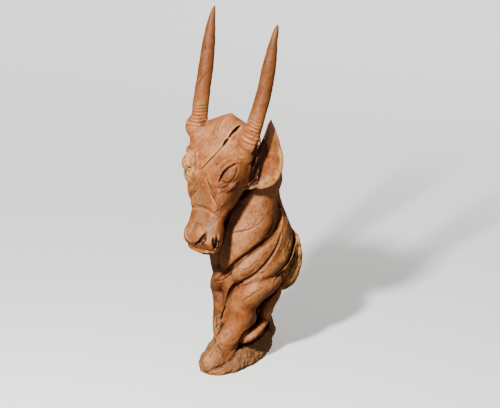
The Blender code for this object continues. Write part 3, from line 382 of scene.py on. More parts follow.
# Narrow lines and cracks: picture x and y, half widths in picture steps, depth, and how dark
fineCuts = {
    "forehead crack, upper slot": [
        (240.5, 126.5, 0.8, 0.5, 0.6), (238, 128.6, 1.9, 1.5, 1), (235, 131.6, 2.1, 1.7, 1),
        (232, 134.6, 1.5, 1.4, 1), (229.6, 138, 1, 1.2, 1),
    ],
    "forehead crack, lower slot": [
        (228.6, 139.4, 0.9, 1, 1), (226.4, 142.2, 1.9, 1.6, 1), (224.5, 145.3, 1.6, 1.3, 1),
        (222.6, 147.5, 0.7, 0.6, 0.8),
    ],
    "forehead crack, closing": [
        (223, 147, 0.7, 0.5, 0.7), (216, 154.5, 0.8, 0.7, 0.5, 0.8), (210, 161, 0.9, 0.8, 0.6, 0.9),
        (203.5, 167.8, 0.7, 0.4, 0.7), (199, 171, 0.6, 0.2, 0.3),
    ],
    "second forehead crack": [
        (217, 124, 0.6, 0.2, 0.4), (214.5, 130.5, 0.7, 0.3, 0.55), (206, 142.5, 0.7, 0.6, 0.25, 0.4),
        (197, 152.5, 0.6, 0.15, 0.2),
    ],
    "lobe crack": [
        (232.6, 232.6, 0.6, 0.2, 0.6), (240, 231, 0.7, 0.6, 0.35, 0.8), (249, 229.2, 0.7, 0.6, 0.35, 0.8),
        (259.5, 223.4, 0.7, 0.6, 0.3, 0.7), (264, 217.8, 0.6, 0.15, 0.4),
    ],
    "long strand line": [
        (234, 268.6, 0.7, 0.6, 0.3, 0.6), (239, 264.3, 0.7, 0.6, 0.35, 0.7),
        (253, 250, 0.7, 0.6, 0.35, 0.6), (259, 243, 0.7, 0.6, 0.25, 0.4),
    ],
    "second strand line": [
        (244, 270, 0.6, 0.2, 0.4), (250, 267, 0.7, 0.6, 0.3, 0.5), (257.5, 260.3, 0.6, 0.2, 0.4),
    ],
    "between the strands": [
        (280.4, 234, 0.8, 0.4, 0.6), (278, 241.6, 1, 0.6, 0.8), (274, 250, 1.1, 0.7, 0.9),
        (267.4, 260, 1.1, 0.7, 0.9), (259, 268.6, 1, 0.6, 0.8), (253, 274, 0.8, 0.4, 0.6),
    ],
    "below the chest": [
        (214.6, 280.6, 0.7, 0.3, 0.6), (220, 280.4, 0.8, 0.5, 0.8), (225, 278.4, 0.8, 0.5, 0.8),
        (230, 274.4, 0.8, 0.5, 0.8), (233, 270.6, 0.8, 0.4, 0.8), (233.6, 265.6, 0.7, 0.3, 0.5),
    ],
    "thigh line": [
        (242.5, 300.6, 0.6, 0.2, 0.5), (251, 295, 0.7, 0.6, 0.3, 0.6), (263, 287.3, 0.6, 0.2, 0.4),
    ],
    "cheek crack": [
        (229.5, 199.5, 0.6, 0.2, 0.4), (221.5, 208.5, 0.7, 0.3, 0.5), (214.5, 213, 0.6, 0.2, 0.3),
    ],
    "nose pad edge": [
        (199, 220.6, 0.6, 0.1, 0.1), (202, 225, 0.7, 0.15, 0.25), (203.4, 230, 0.6, 0.15, 0.3),
    ],
    "nostril, outer stroke": [
        (204.6, 234.4, 0.9, 0.5, 0.9), (202, 237.4, 1.5, 0.9, 1), (199.6, 240.8, 1.7, 0.9, 1),
        (196.4, 243.4, 1, 0.4, 0.9),
    ],
    "nostril, inner stroke": [
        (206.6, 236, 0.8, 0.3, 0.8), (206.2, 240, 1.1, 0.5, 0.9), (203.6, 243.2, 0.8, 0.3, 0.8),
    ],
    "mouth corner, first": [
        (213.8, 236.8, 0.9, 0.4, 0.9), (213.2, 241.4, 1.6, 0.8, 1), (214.6, 246.4, 1.9, 0.8, 1),
        (217.4, 248, 1.2, 0.5, 1),
    ],
    "mouth corner, second": [
        (217.2, 238.6, 1.1, 0.4, 0.9), (219.2, 242.4, 1.4, 0.6, 1), (218.2, 246.4, 1.2, 0.5, 1),
    ],
    "crack under the ear": [
        (244, 187.4, 0.7, 0.3, 0.6), (250.2, 185.4, 1, 0.8, 1), (255.8, 180.6, 1.1, 1, 1),
        (258.6, 178, 0.8, 0.6, 0.8),
    ],
    "horn crack": [
        (206.4, 75, 0.6, 0.2, 0.5), (202, 80, 0.7, 0.6, 0.3, 0.7), (197.6, 85.4, 0.6, 0.2, 0.5),
    ],
    "flake split": [
        (283.4, 270.4, 0.7, 0.5, 0.8), (278, 275.6, 0.9, 0.7, 0.9), (273, 282.8, 0.7, 0.3, 0.5),
    ],
    "flake split, short": [
        (282.4, 275, 0.8, 0.5, 0.9), (283, 280.6, 1.1, 0.8, 1), (281.8, 284.6, 0.8, 0.5, 0.8),
    ],
    "front slot": [(225.4, 307, 1, 1, 1), (223.4, 312.6, 1.4, 1.4, 1), (221.2, 318.4, 0.9, 0.7, 0.9)],
    "front bark, first": [
        (217, 314, 0.7, 0.3, 0.3), (216.6, 321, 0.9, 0.5, 0.5), (217.4, 329, 0.7, 0.3, 0.3),
    ],
    "front bark, second": [
        (221.4, 322, 0.6, 0.3, 0.3), (220.4, 328, 0.8, 0.4, 0.4), (218.8, 334, 0.6, 0.2, 0.2),
    ],
    "back strand line": [
        (282.6, 226, 0.6, 0.2, 0.4), (283.4, 238, 0.7, 0.6, 0.3, 0.5), (278, 252, 0.6, 0.2, 0.4),
    ],
    "flake bark, first": [
        (291, 238, 0.6, 0.4, 0.7), (287.6, 247, 0.8, 0.5, 0.8), (284.6, 256, 0.6, 0.3, 0.6),
    ],
    "flake bark, second": [
        (292, 246, 0.6, 0.3, 0.7), (288.8, 254, 0.8, 0.4, 0.7), (284.6, 262, 0.6, 0.2, 0.4),
    ],
    "flake edge, first": [
        (297.4, 242, 0.6, 0.3, 0.7), (298, 250, 0.9, 0.5, 0.9), (297, 260, 0.8, 0.4, 0.8),
    ],
    "flake edge, second": [
        (295, 254, 0.6, 0.3, 0.5), (293, 264, 0.7, 0.4, 0.6), (288, 273, 0.6, 0.3, 0.5),
    ],
    "foot groove, first": [
        (216, 346, 0.8, 1, 0.2, 0.1), (213, 351.6, 0.9, 1.1, 0.3, 0.2), (210, 357, 0.8, 1, 0.2, 0.1),
    ],
    "foot groove, second": [
        (226, 350, 0.6, 0.8, 0.2, 0.2), (223.4, 355.6, 0.8, 0.9, 0.3, 0.3),
        (219.6, 361, 0.7, 0.8, 0.2, 0.2),
    ],
}

# Fine rings round the foot of each horn, seen from the show side: the middle of each ring as picture
# x and y, its depth, and how dark
hornRings = {
    "left": [
        (200.6, 106.4, 0.2, 0.05), (200.4, 109.2, 0.32, 0.15), (200.2, 112.2, 0.4, 0.25),
        (199.6, 115.6, 0.46, 0.3), (199, 118.8, 0.4, 0.2), (198.4, 122.4, 0.46, 0.3),
        (198, 126.4, 0.3, 0.15),
    ],
    "right": [
        (259, 123.6, 0.2, 0.05), (258.2, 126.8, 0.32, 0.15), (257.4, 130, 0.4, 0.25),
        (256.4, 133.6, 0.46, 0.3), (255.4, 137, 0.4, 0.2), (254.2, 141, 0.46, 0.3),
        (252.8, 145.4, 0.36, 0.2),
    ],
}
hornRingWays = {"left": (8.6, 0.02), "right": (8.4, 0.24)}  # half length of a ring, and its slope

# Drying cracks on the hidden sides: angle round the trunk, height, half widths, depth, and how dark
farCracks = {
    "nape crack": [
        (168, 58, 0.2, 0.2, 0.6), (165, 51, 0.26, 0.4, 0.9), (161, 44, 0.22, 0.3, 0.7),
        (158, 39, 0.18, 0.15, 0.4),
    ],
    "spine crack": [
        (204, 43, 0.2, 0.2, 0.5), (208, 34, 0.28, 0.45, 1), (216, 26, 0.24, 0.35, 0.8),
        (224, 20, 0.18, 0.15, 0.4),
    ],
    "far lobe crack": [(266, 48, 0.18, 0.15, 0.5), (276, 41, 0.24, 0.35, 0.8), (288, 36, 0.2, 0.2, 0.6)],
    "far strand crack": [
        (238, 38, 0.18, 0.2, 0.5), (249, 30, 0.24, 0.35, 0.8), (264, 24, 0.18, 0.2, 0.5),
    ],
    "far root crack": [(300, 15, 0.2, 0.2, 0.5), (296, 10, 0.3, 0.5, 1), (290, 6, 0.22, 0.3, 0.7)],
    "back root crack": [(182, 24, 0.18, 0.2, 0.5), (186, 17, 0.28, 0.5, 1), (188, 10, 0.24, 0.4, 0.8)],
}

# Wrinkles on the left half of the head, mirrored to the right half: as the fine lines
headWrinkles = {
    "upper lid line": [
        (219.4, 184, 0.7, 0.4, 0.7), (221.4, 178.6, 0.9, 0.6, 0.9), (224.2, 173.6, 1, 0.6, 0.9),
        (228.8, 168.8, 0.9, 0.5, 0.8), (232.8, 166.2, 0.8, 0.4, 0.7), (238, 164, 0.6, 0.2, 0.3),
    ],
    "lower lid line": [
        (237.4, 166, 0.5, 0.2, 0.3), (237, 171.8, 0.6, 0.3, 0.5), (234, 178.2, 0.7, 0.4, 0.6),
        (229.4, 182.4, 0.7, 0.4, 0.6), (224, 182, 0.7, 0.4, 0.6), (221, 181.4, 0.6, 0.2, 0.4),
    ],
    "eye corner": [
        (217.6, 188, 0.7, 0.3, 0.5), (220.4, 185.4, 0.7, 0.4, 0.5), (222.4, 184.4, 0.6, 0.2, 0.2),
    ],
    "tear line": [
        (218.4, 188.2, 0.7, 0.3, 0.5), (223, 188.4, 0.8, 0.4, 0.5), (228.4, 185.8, 0.7, 0.3, 0.3),
    ],
    "lower fold": [(220, 193.6, 0.8, 0.2, 0.2), (225, 192, 1, 0.3, 0.3), (231, 187.6, 0.8, 0.2, 0.1)],
    "lid crease": [
        (240, 162, 0.7, 0.1, 0), (234, 160.6, 0.9, 0.15, 0.05), (226, 163.6, 0.9, 0.15, 0.05),
        (219.6, 171, 0.8, 0.15, 0.05), (216.4, 177.4, 0.7, 0.1, 0),
    ],
    "horn foot, first": [
        (244, 130.4, 0.9, 1, 0.15, 0), (248.4, 133.6, 1, 1.1, 0.25, 0.05),
        (257, 136.4, 0.9, 1, 0.2, 0.05),
    ],
    "horn foot, second": [
        (242.6, 134.6, 0.9, 1, 0.15, 0), (247.4, 138.2, 1, 1.2, 0.35, 0.1),
        (255, 140.6, 0.9, 1, 0.2, 0.05),
    ],
    "horn foot, third": [
        (239.4, 138.6, 0.9, 1, 0.15, 0), (244.6, 143.6, 1.1, 1.2, 0.35, 0.15),
        (252.6, 146.6, 0.9, 1, 0.2, 0.1),
    ],
    "horn foot, fourth": [
        (236.6, 141, 0.9, 1, 0.1, 0), (241.6, 149.6, 1.1, 1.2, 0.3, 0.1),
        (248.6, 152.6, 0.9, 1, 0.15, 0.05),
    ],
    "jaw fold": [(237, 190.8, 0.9, 0.2, 0.2), (243.6, 187.4, 1.1, 0.4, 0.3), (249, 187.6, 0.9, 0.3, 0.3)],
    "cheek fold": [
        (224.6, 214.6, 0.8, 0.9, 0.3, 0.2), (228, 211, 0.9, 1, 0.35, 0.3), (236, 200.6, 0.9, 0.15, 0.1),
    ],
}

# Soft ridges raised on the left half of the head, mirrored to the right half
headRidges = {
    "crown edge": [
        (230.4, 117, 2.2, 1.6, 0.3), (226.4, 124, 2.4, 1.6, 0.5), (222.6, 132.6, 2.2, 1.6, 0.2),
    ],
    "brow edge": [
        (244, 159, 2, 0.15), (236, 157.6, 2.8, 2.6, 0.3), (226, 160.6, 2.8, 2.6, 0.35),
        (218, 168, 2.8, 2.6, 0.3), (213, 176, 2.4, 2.2, 0.15),
    ],
    "upper lid edge": [
        (218.4, 181, 1, 0.2), (222, 172.6, 1.3, 1.2, 0.4), (227, 166.4, 1.3, 1.2, 0.45),
        (233, 163.4, 1.3, 1.2, 0.4), (240, 162.6, 1, 0.2),
    ],
    "eye corner bead": [(221.6, 187.4, 0.9, 0.25), (224.4, 185.6, 1.1, 0.4), (227, 184.8, 0.9, 0.2)],
    "lower lip": [(193.6, 250.4, 1.4, 0.2), (204, 252, 1.5, 0.25), (214, 252.8, 1.4, 0.2)],
    "cheek edge": [
        (205.6, 178.6, 1.2, 1.6, 0.3), (209.6, 187, 1.2, 1.8, 0.5), (216, 198, 1.2, 1.8, 0.5),
        (222, 210, 1.2, 1.6, 0.3),
    ],
    "inner ear": [
        (258.9, 163, 1.1, 0.3), (258.5, 170, 1.5, 1.2), (257.4, 178, 1.5, 1.1), (256.6, 183.6, 1.1, 0.3),
    ],
}

# Painted shade in the deepest grooves and under the foot: as the fine lines
grooveShades = {
    "beside the flake": [
        (292.8, 229, 0.7, 1, 0, 0.9), (294, 236, 1.2, 1.5, 0, 1), (293.8, 245, 1.3, 1.8, 0, 1),
        (290.6, 256, 1, 1.4, 0, 1), (287.4, 262.4, 0.8, 1, 0, 1), (280.6, 269, 0.6, 0, 0.7),
    ],
    "above the thigh": [
        (254.4, 273.8, 0.7, 0, 0.7), (249, 277.4, 1, 0, 0.9), (240.4, 281.6, 1.1, 0, 0.9),
        (234, 288, 1.2, 0, 0.9), (230.6, 295, 1.1, 0, 0.9), (225.6, 303.6, 1, 0, 0.9),
        (223, 313, 1, 0, 0.8),
    ],
    "behind the shin": [
        (271, 296, 0.8, 0, 0.3), (262, 303.4, 1.4, 0, 0.6), (256.6, 310, 1.8, 0, 0.8),
        (257.4, 319, 1.8, 0, 0.8), (256, 325, 1.8, 0, 0.8), (248, 330, 1.8, 0, 0.8),
        (242, 337, 1.4, 0, 0.7), (238.4, 342.6, 1, 0, 0.5),
    ],
    "under the tendon": [
        (262, 337.6, 1.2, 1.4, 0, 0.6), (253, 343.6, 1.4, 0, 0.9), (244, 345.8, 1.2, 0, 0.9),
        (238, 346, 0.8, 0, 0.6),
    ],
    "under the foot": [
        (236, 349, 0.8, 0, 0.7), (234, 355, 1, 0, 0.7), (230.6, 359.6, 1, 0, 0.6),
        (222.6, 364.6, 0.8, 0, 0.4), (213.4, 368, 0.7, 0, 0.2),
    ],
}

# Patches of the surface: picture x and y, radius in picture steps, and strength
patches = {
    "sapwood": [
        (186, 160, 8, 1), (193, 158, 8, 0.9), (200, 163, 7, 0.5), (189, 169, 8, 0.8), (187, 179, 7, 0.6),
        (196, 170, 7, 0.5), (280.6, 153, 4.5, 0.8), (281.6, 160, 4.5, 1), (280, 168, 4.5, 1),
        (275.6, 175, 4.5, 1), (269, 180.4, 4.2, 1), (262, 183.8, 3.8, 0.9), (255, 185.8, 3.2, 0.5),
        (289, 244, 5, 0.6), (286, 256, 5, 0.6), (280, 266, 5, 0.4), (297, 240, 4, 0.8),
        (297, 250, 5, 0.9), (295.4, 262, 6, 1), (291, 272, 7, 1), (287, 281, 7, 0.9),
        (282.6, 288.6, 6, 0.7), (257.8, 171, 1.6, 0.8), (257.4, 178, 1.6, 0.8), (207, 252, 3, 0.6),
        (196, 251, 3, 0.6), (214, 251.6, 3, 0.4),
    ],
    # darker umber wood, and painted shade on the cheek, round the eye and down the front mass
    "umberAndShade": [
        (229, 175.6, 6, 1), (229.6, 177, 7, 0.9), (235.4, 173, 4, 0.8), (258, 158, 11, 0.6),
        (213, 300, 6, 0.9), (214, 312, 6, 0.9), (216, 284, 7, 0.8), (219, 296, 7, 0.9),
        (212.6, 290, 5, 0.8), (226, 191, 8, 0.9), (234, 192, 8, 0.9), (228, 200, 8, 0.9),
        (222, 208, 6, 0.8), (240, 182, 7, 0.7), (244, 172, 6, 0.5), (226, 176, 9, 0.5),
        (218, 292, 8, 0.6), (221, 302, 7, 0.6), (215, 190, 6, 0.4),
    ],
    "pink": [
        (205, 134, 13, 1), (221, 129, 11, 0.8), (212, 147, 11, 0.9), (228, 148, 9, 0.8),
        (256, 203, 13, 1), (252, 221, 14, 1), (241, 238, 12, 0.9), (235, 250, 8, 0.8), (246, 262, 8, 0.7),
        (256, 254, 8, 0.6), (256, 284, 9, 0.6), (251, 334, 5, 0.8), (199, 227, 4, 0.6),
        (226, 332, 7, 0.5), (217, 352, 9, 0.8), (210, 361, 8, 0.7), (222, 342, 8, 0.6),
    ],
    "weathered": [
        (196, 186, 7, 0.8), (200, 195, 8, 0.95), (205, 204, 8, 0.95), (197, 205, 7, 0.8),
        (203, 216, 9, 0.8), (212, 224, 8, 0.85), (210, 232, 6, 0.7), (214, 216, 6, 0.7),
        (217.6, 318, 4, 0.9), (219, 328, 5, 1), (217, 336, 4, 0.7), (268, 332, 6, 0.9),
        (271, 322, 5, 0.8),
    ],
    # burnt bark, and painted shade in the nostrils, the mouth corners and the recess under the tendon
    "charAndShade": [
        (291.6, 234, 2.4, 0.8), (294.4, 243, 2, 0.7), (292.6, 252, 2, 0.6), (290.6, 240, 3, 0.7),
        (288, 248, 3.6, 0.7), (285.4, 255, 3.4, 0.6), (283, 262, 3, 0.4), (298.6, 246, 1.8, 0.7),
        (299.8, 256, 1.8, 0.7), (299.8, 266, 1.6, 0.6), (218, 318, 3, 0.7), (218, 326, 4, 0.8),
        (217.6, 334, 3.4, 0.7), (200.6, 240, 2.6, 1), (197, 243, 1.8, 1), (205.8, 238, 1.8, 1),
        (204.8, 242, 1.8, 0.9), (214.2, 240, 2.4, 1), (215.4, 245, 2.6, 1), (218.8, 243.6, 2, 1),
        (218, 247.4, 1.6, 1), (222, 314, 2.4, 0.6), (270, 330, 5, 0.5), (185, 166, 2.6, 0.5),
    ],
    # painted shade in the nostrils and the corners of the mouth
    "nostrilAndMouthShade": [
        (200.2, 240.4, 3.6, 1), (197.2, 243, 2.6, 1), (205.8, 238, 2.2, 1), (203.6, 243, 2.4, 0.95),
        (214, 240, 1.8, 0.9), (215, 245, 2.2, 1), (219, 242.6, 1.6, 0.9), (218, 247, 1.4, 0.9),
    ],
    # painted shadow in the cup of the ear
    "earShade": [
        (270, 121, 7, 1), (272, 130, 10, 1), (262, 136, 8, 1), (271, 140, 12, 1), (267, 150, 13, 1),
        (263, 160, 13, 1), (260, 170, 12, 1), (257, 178, 9, 1), (256, 151, 6, 1), (253.4, 163, 5, 1),
        (252.4, 173, 4, 0.9),
    ],
    "bloodRed": [
        (194, 226, 6, 0.7), (198.6, 224, 4, 0.7), (211.6, 188, 3.2, 0.6), (215.6, 195, 3.4, 0.6),
        (219, 202, 3, 0.5),
    ],
    "rough": [
        (290, 240, 4, 0.5), (287, 250, 5, 0.5), (297, 242, 4, 0.8), (297.6, 254, 5, 0.9),
        (296, 266, 6, 1), (290, 277, 8, 0.8), (284, 288, 7, 0.9), (217.4, 314, 4, 0.7),
        (218.6, 326, 5, 0.9), (218.6, 338, 5, 0.9), (269, 326, 5, 0.7), (186, 162, 4, 0.5),
        (186, 174, 4, 0.4), (232, 292, 2, 0.4), (227, 304, 2.4, 0.5),
    ],
}
footPlaces = [
    (214, 349, 9, 1), (219, 352, 9, 1), (208, 359, 8, 0.8), (205, 366, 6, 0.6), (222, 345, 10, 1),
    (229, 342, 10, 1), (226, 353, 8, 1), (218, 357, 8, 0.9), (213, 364, 6, 0.7), (250, 336, 6, 1),
    (243, 342, 4, 1), (258, 329, 5, 1),
]

# The same on the hidden sides: middle, radius and strength
farBalls = {
    "sapwood": [
        ((-10, -8.4, 60), 3.6, 0.7), ((-9, 0, 60), 3, 0.4), ((4, 18, 34), 4, 0.6),
        ((-15, 0.5, 58.6), 2.4, 0.8), ((-16.4, 1, 62.6), 2, 0.7), ((1, 18.4, 26), 4, 0.5),
    ],
    "umberAndShade": [((-8, -10, 55), 3, 0.5), ((-6, -2, 20), 5, 0.5), ((6, 14, 14), 4, 0.5)],
    "pink": [((-8, 6, 40), 5, 0.7), ((-9, 8, 30), 5, 0.6), ((-2, 14, 46), 5, 0.6)],
    "weathered": [((-4, 14, 14), 4, 0.8), ((-6, 4, 12), 4, 0.6), ((-1, 16.6, 22), 4, 0.5)],
    "charAndShade": [((3, 18.6, 30), 2.4, 0.6), ((-4, 15.4, 12), 2.4, 0.5)],
    "rough": [((3, 19, 30), 3.2, 0.7), ((-3, 15.6, 12), 4, 0.6), ((-1, 17.4, 20), 3, 0.5)],
}


# How finely each form is made: rings along it and points round each ring
meshValues = {
    "trunk": (60, 40),
    "head": (80, 5),  # points between two of its lines
    "root": (26, 44),
    "ball": (16, 24),
    "strand": (60, 24),
    "horn": (190, 32),
    "ear": (50, 15),  # points across each face of it
}
headSpan = (34, 72.8)
trunkEndShare = 0.06
strandEndShare = 0.16
earCurl = (94, 62)  # half the bend of the cup at its foot and at its tip, in degrees
rootMiddle = (-1.4, 1.0)
rootWay = (-0.30, 0.954, 0.0)
rootSquareness = 2.1

# The root from its foot up: share of its height, of its length and width, and how far back it leans
rootProfile = [
    (-0.15, 0.97, 0.95, 0), (0, 0.99, 0.98, 0), (0.16, 0.99, 1, 0), (0.36, 0.92, 0.92, 0.07),
    (0.6, 0.77, 0.8, 0.18), (0.8, 0.58, 0.66, 0.26), (1, 0.4, 0.48, 0.3), (1.1, 0.2, 0.3, 0.3),
]


def hundredths(metres):
    return metres / unit


def bothSides(lines, count):
    # a row that is one value short is as wide on its left as on its right
    for name, rows in lines.items():
        lines[name] = [row if len(row) == count else (*row[:3], *row[2:]) for row in rows]


for lines in (showCuts, headCuts, farCuts, headRidges):
    bothSides(lines, 5)
for lines in (fineCuts, farCracks, headWrinkles, grooveShades):
    bothSides(lines, 6)


def seen(x, y, near):
    # the place at picture x and y that lies this near to the viewer, in hundredths
    right = (x - pictureOrigin[0]) / pictureScale
    up = (pictureOrigin[1] - y) / pictureScale
    return right * rightWay + up * upWay + near * nearWay


def smoothRows(rows, count):
    rows = np.array(rows, float)
    padded = np.vstack([2 * rows[0] - rows[1], rows, 2 * rows[-1] - rows[-2]])
    places = np.linspace(0, len(rows) - 1, count)
    first = np.minimum(places.astype(int), len(rows) - 2)
    t = (places - first)[:, None]
    a, b, c, d = (padded[first + k] for k in range(4))
    return 0.5 * (2 * b + (c - a) * t + (2 * a - 5 * b + 4 * c - d) * t**2 + (3 * b - a - 3 * c + d) * t**3)


def oval(centre, across, through, halfAcross, halfThrough, sides, squareness=2.0):
    turn = np.linspace(0, 2 * math.pi, sides, endpoint=False)
    c, s = np.cos(turn), np.sin(turn)
    x = halfAcross * np.sign(c) * np.abs(c) ** (2 / squareness)
    y = halfThrough * np.sign(s) * np.abs(s) ** (2 / squareness)
    return centre + np.outer(x, across) + np.outer(y, through)


def skin(rings):
    # a closed shell through the rings, each end closed on its own middle
    sides = len(rings[0])
    points = np.vstack([*rings, rings[0].mean(axis=0), rings[-1].mean(axis=0)])
    faces = []
    for ring in range(len(rings) - 1):
        for k in range(sides):
            low, high = ring * sides, (ring + 1) * sides
            after = (k + 1) % sides
            faces.append((low + k, low + after, high + after, high + k))
    start, end = len(points) - 2, len(points) - 1
    top = (len(rings) - 1) * sides
    for k in range(sides):
        after = (k + 1) % sides
        faces.append((start, after, k))
        faces.append((end, top + k, top + after))
    return points, faces


def softRing(corners, steps):
    # a closed line through the corners, between straight and curved
    before, after, nextAfter = np.roll(corners, 1, 0), np.roll(corners, -1, 0), np.roll(corners, -2, 0)
    points = []
    for step in range(steps):
        t = step / steps
        curve = 0.5 * (2 * corners + (after - before) * t
                       + (2 * before - 5 * corners + 4 * after - nextAfter) * t**2
                       + (3 * corners - before - 3 * after + nextAfter) * t**3)
        points.append(0.6 * curve + 0.4 * (corners + (after - corners) * t))
    return np.array(points).transpose(1, 0, 2).reshape(-1, 2)


def roundedEnds(count, share):
    place = np.linspace(0, 1, count)
    edge = np.minimum(np.minimum(place, 1 - place) / share, 1)
    return np.sqrt(np.maximum(1 - (1 - edge) ** 2, 0.004))


def trunkForm():
    count, sides = meshValues["trunk"]
    sideways, backwards = np.eye(3)[0], np.eye(3)[1]
    rings = []
    for row, end in zip(smoothRows(trunkStations, count), roundedEnds(count, trunkEndShare)):
        height, x, y, halfWidth, halfDepth = row
        middle = np.array([x, y, height])
        rings.append(oval(middle, sideways, backwards, halfWidth * end, halfDepth * end, sides))
    return skin(rings)


def headForm():
    count, sides = meshValues["head"]
    heights = np.linspace(*headSpan, count)
    left = []
    for line in headLines.values():
        rows = smoothRows(line[::-1], 120)
        left.append(np.column_stack([np.interp(heights, rows[:, 0], rows[:, k]) for k in (1, 2)]))
    around = left + [line * (-1, 1) for line in left[-2:0:-1]]
    rings = []
    for k, height in enumerate(heights):
        corners = np.array([line[k] for line in around])
        rings.append(np.column_stack([softRing(corners, sides), np.full(sides * len(corners), height)]))
    return skin(rings)


def rootForm():
    halfLength = hundredths(carvingValues["rootLength"]) / 2
    halfWidth = hundredths(carvingValues["rootWidth"]) / 2
    height = hundredths(carvingValues["rootHeight"])
    longWay = np.array(rootWay)
    wideWay = np.array([rootWay[1], -rootWay[0], 0])
    count, sides = meshValues["root"]
    rings = []
    for share, length, width, back in smoothRows(rootProfile, count):
        middle = np.array([*rootMiddle, share * height]) + longWay * halfLength * back
        ring = oval(middle, longWay, wideWay, halfLength * length, halfWidth * width, sides, rootSquareness)
        rings.append(ring[::-1])
    return skin(rings)


def ballForm(middle, sizes, turn, side):
    turn = math.radians(turn)
    longWay = math.cos(turn) * rightWay + math.sin(turn) * upWay
    shortWay = math.cos(turn) * upWay - math.sin(turn) * rightWay
    rings = []
    count, sides = meshValues["ball"]
    pole = math.pi / 2 - 0.05
    for rise in np.linspace(-pole, pole, count):
        centre = np.array(middle) + sizes[2] * math.sin(rise) * nearWay
        share = math.cos(rise)
        rings.append(oval(centre, longWay, shortWay, sizes[0] * share, sizes[1] * share, sides))
    points, faces = skin(rings)
    points[:, 0] *= side
    return points, faces


def trunkMiddle(height):
    rows = np.array(trunkStations, float)
    return np.array([np.interp(height, rows[:, 0], rows[:, k]) for k in (1, 2, 3, 4)])


def outward(place):
    x, y, halfX, halfY = trunkMiddle(place[2])
    way = np.array([(place[0] - x) / halfX**2, (place[1] - y) / halfY**2, 0.0])
    return way / max(np.linalg.norm(way), 1e-6)


def showHit(tree, x, y):
    # where the view's ray through picture x and y meets the surface
    return tree.ray_cast(Vector(seen(x, y, 90)), Vector(-nearWay))[0]


def showPlace(trunk, root, x, y, lift):
    # a place lifted towards the viewer off the trunk and clear of the root
    hit = showHit(trunk, x, y)
    axis = np.array([(row[1], row[2], row[0]) for row in trunkStations], float)
    up = (pictureOrigin[1] - y) / pictureScale
    near = np.interp(up, axis @ upWay, axis @ nearWay) if hit is None else np.dot(hit, nearWay)
    low = showHit(root, x, y)
    lowest = near + lift if low is None else np.dot(low, nearWay) + 0.5
    return seen(x, y, max(near + lift, lowest))


def farPlace(angle, height, lift):
    x, y, halfX, halfY = trunkMiddle(height)
    turn = math.radians(angle)
    place = np.array([x + halfX * math.sin(turn), y - halfY * math.cos(turn), height])
    return place + lift * outward(place)


def strandForm(places, halfWidths, halfThicknesses):
    count, sides = meshValues["strand"]
    rows = smoothRows(np.column_stack([places, halfWidths, halfThicknesses]), count)
    ends = roundedEnds(count, strandEndShare)
    along = np.gradient(rows[:, :3], axis=0)
    made = []
    for row, way, end in zip(rows, along, ends):
        out = outward(row[:3])
        across = np.cross(way / np.linalg.norm(way), out)
        across /= np.linalg.norm(across)
        made.append(oval(row[:3], across, out, row[3] * end, row[4] * end, sides))
    return skin(made)


def showStrand(trunk, root, rows):
    rows = np.array(rows, float)
    places = [showPlace(trunk, root, x, y, lift) for x, y, _, lift, _ in rows]
    return strandForm(places, rows[:, 2] / pictureScale, rows[:, 4])


def farStrand(rows):
    rows = np.array(rows, float)
    places = [farPlace(angle, height, lift) for angle, height, _, lift, _ in rows]
    return strandForm(places, rows[:, 2], rows[:, 4])


def hornForm(rows):
    count, sides = meshValues["horn"]
    places = smoothRows(rows, count)
    steps = np.linalg.norm(np.diff(places, axis=0), axis=1)
    reach = np.concatenate([[0], np.cumsum(steps)])
    length = hundredths(carvingValues["hornLength"])
    reach = (reach - reach[-1]) / length + 1
    shares, sizes = np.array(hornTaper).T
    spacing = carvingValues["ringSpacing"] / carvingValues["hornLength"]
    rings = hundredths(carvingValues["ringRelief"]) * np.cos(2 * math.pi * reach / spacing)
    rings *= np.clip(ringsAbove + 1 - reach / spacing, 0, 1)
    radius = hundredths(carvingValues["hornRadius"]) * np.interp(reach, shares, sizes) + rings
    along = np.gradient(places, axis=0)
    made = []
    for place, way, size in zip(places, along, radius):
        way = way / np.linalg.norm(way)
        across = np.cross(way, [0, 1, 0])
        across /= np.linalg.norm(across)
        made.append(oval(place, np.cross(across, way), across, size, size, sides)[::-1])
    return skin(made)


def earForm(side):
    # a cupped leaf with a thick wall, open towards the front and side
    rows = np.array(earStations, float)
    drawn = np.linalg.norm(np.diff(rows[:, :3], axis=0), axis=1).sum()
    grow = hundredths(carvingValues["earLength"]) / drawn
    rows[:, :3] = rows[0, :3] + (rows[:, :3] - rows[0, :3]) * grow
    count, sides = meshValues["ear"]
    rows = smoothRows(rows, count)
    rows[:, 3] = np.maximum(rows[:, 3], 0.05) * hundredths(carvingValues["earHalfWidth"])
    wall = hundredths(carvingValues["earWall"])
    opening = np.array(earOpening) / np.linalg.norm(earOpening)
    along = np.gradient(rows[:, :3], axis=0)
    curl = np.radians(np.linspace(*earCurl, count))
    made = []
    for row, way, bend in zip(rows, along, curl):
        way = way / np.linalg.norm(way)
        across = np.cross(opening, way)
        across /= np.linalg.norm(across)
        face = np.cross(way, across)
        if face @ opening < 0:
            face = -face
        inner = row[3] / math.sin(bend)
        sweep = np.linspace(-bend, bend, sides)
        thin = min(wall, 0.55 * row[3])
        inside = [row[:3] + across * inner * math.sin(a) + face * inner * (1 - math.cos(a)) for a in sweep]
        outer = inner + thin
        outside = [
            row[:3] - face * thin + across * outer * math.sin(a) + face * outer * (1 - math.cos(a))
            for a in sweep[::-1]
        ]
        made.append(np.array(inside + outside))
    points, faces = skin(made)
    points[:, 0] *= side
    if side < 0:
        faces = [face[::-1] for face in faces]
    return points, faces


def treeOf(form):
    points, faces = form
    return BVHTree.FromPolygons(points.tolist(), faces)


